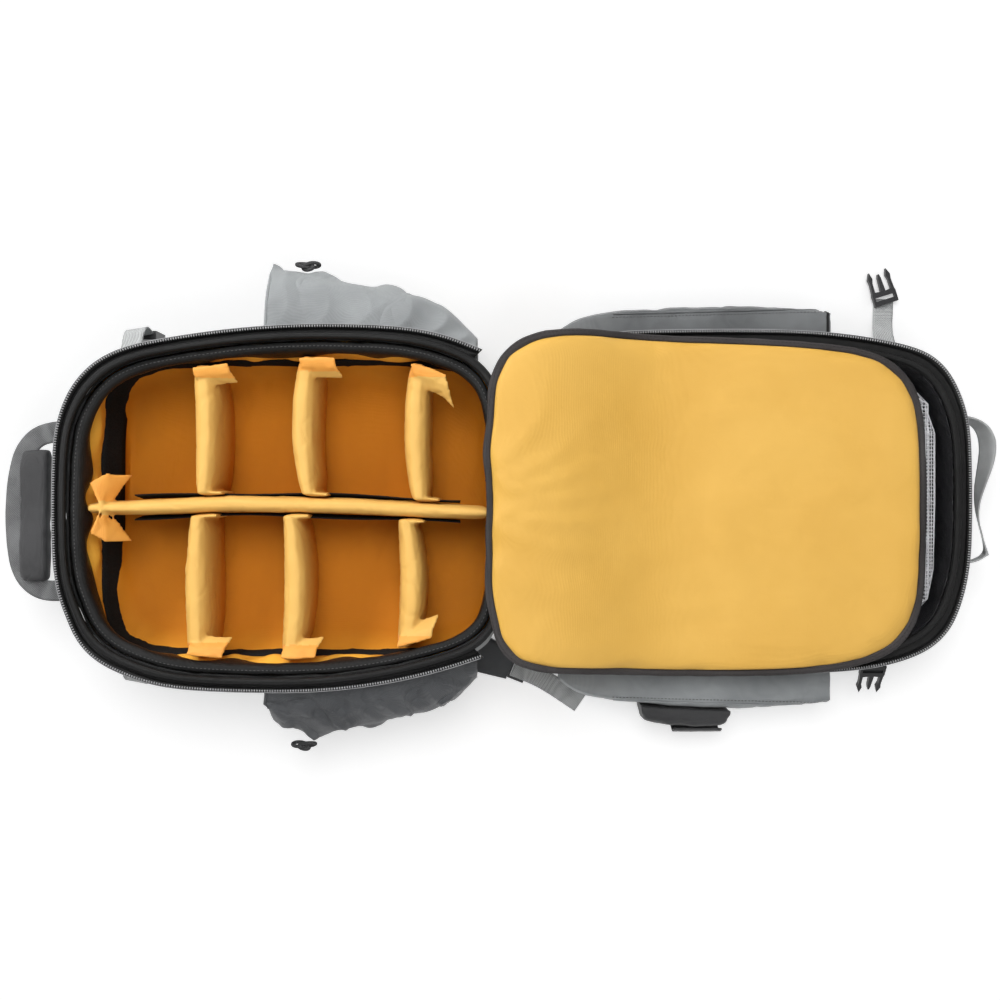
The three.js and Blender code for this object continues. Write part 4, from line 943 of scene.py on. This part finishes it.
def pocket_seams():
    """Stitch lines and corded edges on the lid's side pockets, and hems at the bottle pockets' mouths."""
    for word, side in (("upper", 1), ("lower", -1)):
        piece = bpy.data.objects[f"side_pocket_{word}_cloth"]
        low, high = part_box(f"side_pocket_{word}")
        edge = high.y if side > 0 else low.y
        xs = np.arange(low.x + 55 * MM, high.x - 5 * MM, 3.6 * MM)
        line = laid_on(piece, beside_edge(xs, low, edge, side, SEAM_INSET))
        stitches(f"side_pocket_{word}_stitches", line, False, GREY_THREAD, "grey_cloth")
        cord_line = laid_on(piece, beside_edge(xs, low, edge, side, CORD_INSET))
        cord = thread(f"side_pocket_{word}_edge", cord_line, False, 1.1 * MM)
        dress(cord, SIDE_DARK if side > 0 else SIDE, "grey_cloth")
        ys = np.arange(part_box("lid_body")[1].y if side > 0 else -edge, edge * side, 3 * MM)
        end = laid_on(piece, [(high.x - 3 * MM, side * y) for y in ys])
        if len(end) > 3:
            dress(thread(f"side_pocket_{word}_end", end, False, 1.3 * MM), BLACK, "black_cloth")
        mouth_hem(f"bottle_pocket_{word}", GREY if side > 0 else DARK)


def mouth_hem(node, material):
    """A rolled hem along the open end of a bottle pocket."""
    piece = bpy.data.objects[node + "_cloth"]
    points = points_of(piece)
    levels = np.linspace(points[:, 2].min() + 4 * MM, points[:, 2].max() - 4 * MM, 26)
    path = []
    for z in levels:
        near = points[np.abs(points[:, 2] - z) < 2.5 * MM]
        if len(near):
            path.append(near[near[:, 0] < near[:, 0].min() + 2 * MM].mean(0))
    path = np.array(path)
    hem = thread(node + "_hem", path, False, 1.7 * MM, sides=8, up=(1, 0, 0))
    dress(hem, material, "grey_cloth")


def seams():
    lines = [
        ("panel_stitches", "panel_binding", 6.4 * MM, BLACK_THREAD, "binding_tape"),
        ("panel_edge_stitches", "panel_binding", 3.0 * MM, BLACK_THREAD, "binding_tape"),
        ("facing_stitches", "base_facing", 4.5 * MM, GREY_THREAD, "black_cloth"),
    ]
    for name, node, depth, material, slot in lines:
        path, closed = rim_path(node, depth, 0, step=4 * MM)
        stitches(name, path, closed, material, slot)


NET_PITCH = 3.8 * MM
NET_CORD = 1.1 * MM


def net():
    """The lid's mesh pocket as a real net, its cords crossing in squares."""
    low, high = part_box("mesh_pocket")
    piece = copy_of("mesh_pocket", "mesh_pocket_net")
    shape = bmesh.new()
    shape.from_mesh(piece.data)
    keep_outer(shape)
    for x in np.arange(low.x + NET_PITCH / 2, high.x, NET_PITCH):
        cut_plane(shape, (x, 0, 0), (1, 0, 0))
    for y in np.arange(low.y + NET_PITCH / 2, high.y, NET_PITCH):
        cut_plane(shape, (0, y, 0), (0, 1, 0))
    bmesh.ops.remove_doubles(shape, verts=shape.verts, dist=0.3 * MM)
    shape.to_mesh(piece.data)
    shape.free()
    wire = piece.modifiers.new("wire", "WIREFRAME")
    wire.thickness = NET_CORD
    wire.use_replace = True
    bake_modifiers(piece)
    dress(piece, NET, "white_mesh", "mesh_pocket")


def keep_outer(shape):
    """Keeps the upper skin of the thick sheet."""
    middle = sum((f.calc_center_median() for f in shape.faces), Vector()) / len(shape.faces)
    middle.z = 0
    gone = [f for f in shape.faces if f.normal.dot(f.calc_center_median() - middle) < 1e-4]
    bmesh.ops.delete(shape, geom=gone, context="FACES")


def cut_plane(shape, place, normal):
    geometry = shape.verts[:] + shape.edges[:] + shape.faces[:]
    bmesh.ops.bisect_plane(shape, geom=geometry, dist=1e-6, plane_co=place, plane_no=normal)


# Scene


BUCKLES = (
    "male_buckle_upper", "male_buckle_lower", "female_buckle_upper", "female_buckle_lower", "ladder_lock",
)


def buckles():
    for node in BUCKLES:
        piece = frame["nodes"][node]
        bevel = piece.modifiers.new("bevel", "BEVEL")
        bevel.width = 0.7 * MM
        bevel.segments = 2
        bevel.limit_method = "ANGLE"
        finish_node(piece, PLASTIC)
    for node in ("drawcord_upper", "drawcord_lower"):
        knot(node)


def knot(node):
    """A drawcord's loose knot, its cord crossing over itself three times."""
    low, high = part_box(node)
    middle = (low + high) / 2
    half = (high - low) / 2 - Vector((1, 1, 2)) * MM
    turn = np.linspace(0, 2 * math.pi, 90, endpoint=False)
    across = (np.sin(turn) + 2 * np.sin(2 * turn)) / 3
    along = (np.cos(turn) - 2 * np.cos(2 * turn)) / 3
    over = -np.sin(3 * turn)
    path = np.column_stack([
        middle.x + half.x * across, middle.y + half.y * along, middle.z + 2.4 * MM * over
    ])
    cord = thread(node + "_knot", path, True, 1.9 * MM, 8)
    dress(cord, KNOT, "black_cloth", node)


def finish_node(piece, material):
    for place in piece.material_slots:
        place.material = material
    if not piece.material_slots:
        piece.data.materials.append(material)


def white_floor():
    """A floor that glows slightly, so that the background stays white."""
    mesh = bpy.data.meshes.new("floor")
    size = 6.0
    corners = [(-size, -size, 0), (size, -size, 0), (size, size, 0), (-size, size, 0)]
    mesh.from_pydata(corners, [], [(0, 1, 2, 3)])
    floor = link("floor", mesh)
    looks = Looks("floor_paint")
    looks.shader.inputs["Base Color"].default_value = (0.95, 0.95, 0.95, 1)
    looks.shader.inputs["Roughness"].default_value = 0.9
    looks.shader.inputs["Emission Color"].default_value = (1, 1, 1, 1)
    looks.shader.inputs["Emission Strength"].default_value = 0.36
    mesh.materials.append(looks.material)
    return floor


def floor_and_lights():
    floor = white_floor()
    world = bpy.data.worlds.new("studio")
    bpy.context.scene.world = world
    world.use_nodes = True
    sky = world.node_tree.nodes["Background"]
    sky.inputs["Color"].default_value = (1, 1, 1, 1)
    sky.inputs["Strength"].default_value = 0.42
    lamp("key", (-0.2, 0.9, 2.4), 1.5, 20)
    lamp("fill", (0.5, -1.2, 2.2), 1.5, 8)
    rake = lamp("rake", (-1.3, 1.1, 1.1), 0.5, 22)
    # The raking light shows the folds, and lights the pack only.
    lit = bpy.data.collections.new("lit_by_rake")
    for piece in bpy.context.scene.objects:
        if piece.type == "MESH" and piece != floor:
            lit.objects.link(piece)
    rake.light_linking.receiver_collection = lit


def lamp(name, place, size, power):
    """A round soft light that points at the middle of the scene."""
    light = bpy.data.lights.new(name, "AREA")
    light.shape = "DISK"
    light.size = size
    light.energy = power
    piece = bpy.data.objects.new(name, light)
    piece.location = place
    piece.rotation_euler = (-Vector(place)).to_track_quat("-Z", "Y").to_euler()
    bpy.context.scene.collection.objects.link(piece)
    return piece


def camera():
    low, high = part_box("panel_binding")
    zip_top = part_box("base_zip")[1][2]
    data = bpy.data.cameras.new("camera")
    data.sensor_width = SENSOR
    data.lens = SENSOR * CAMERA_ABOVE_ZIP / VIEW_WIDTH_AT_ZIP
    piece = bpy.data.objects.new("camera", data)
    middle = (low[1] + high[1]) / 2
    piece.location = (
        low[0] + CAMERA_FROM_PANEL_END,
        middle + CAMERA_FROM_PANEL_MIDDLE,
        zip_top + CAMERA_ABOVE_ZIP,
    )
    bpy.context.scene.collection.objects.link(piece)
    bpy.context.scene.camera = piece


def colours():
    view = bpy.context.scene.view_settings
    view.view_transform = "Standard"
    view.look = "None"


camera()
soft_pieces()
dividers()
panel()
zips()
seams()
pocket_seams()
net()
buckles()
floor_and_lights()
colours()
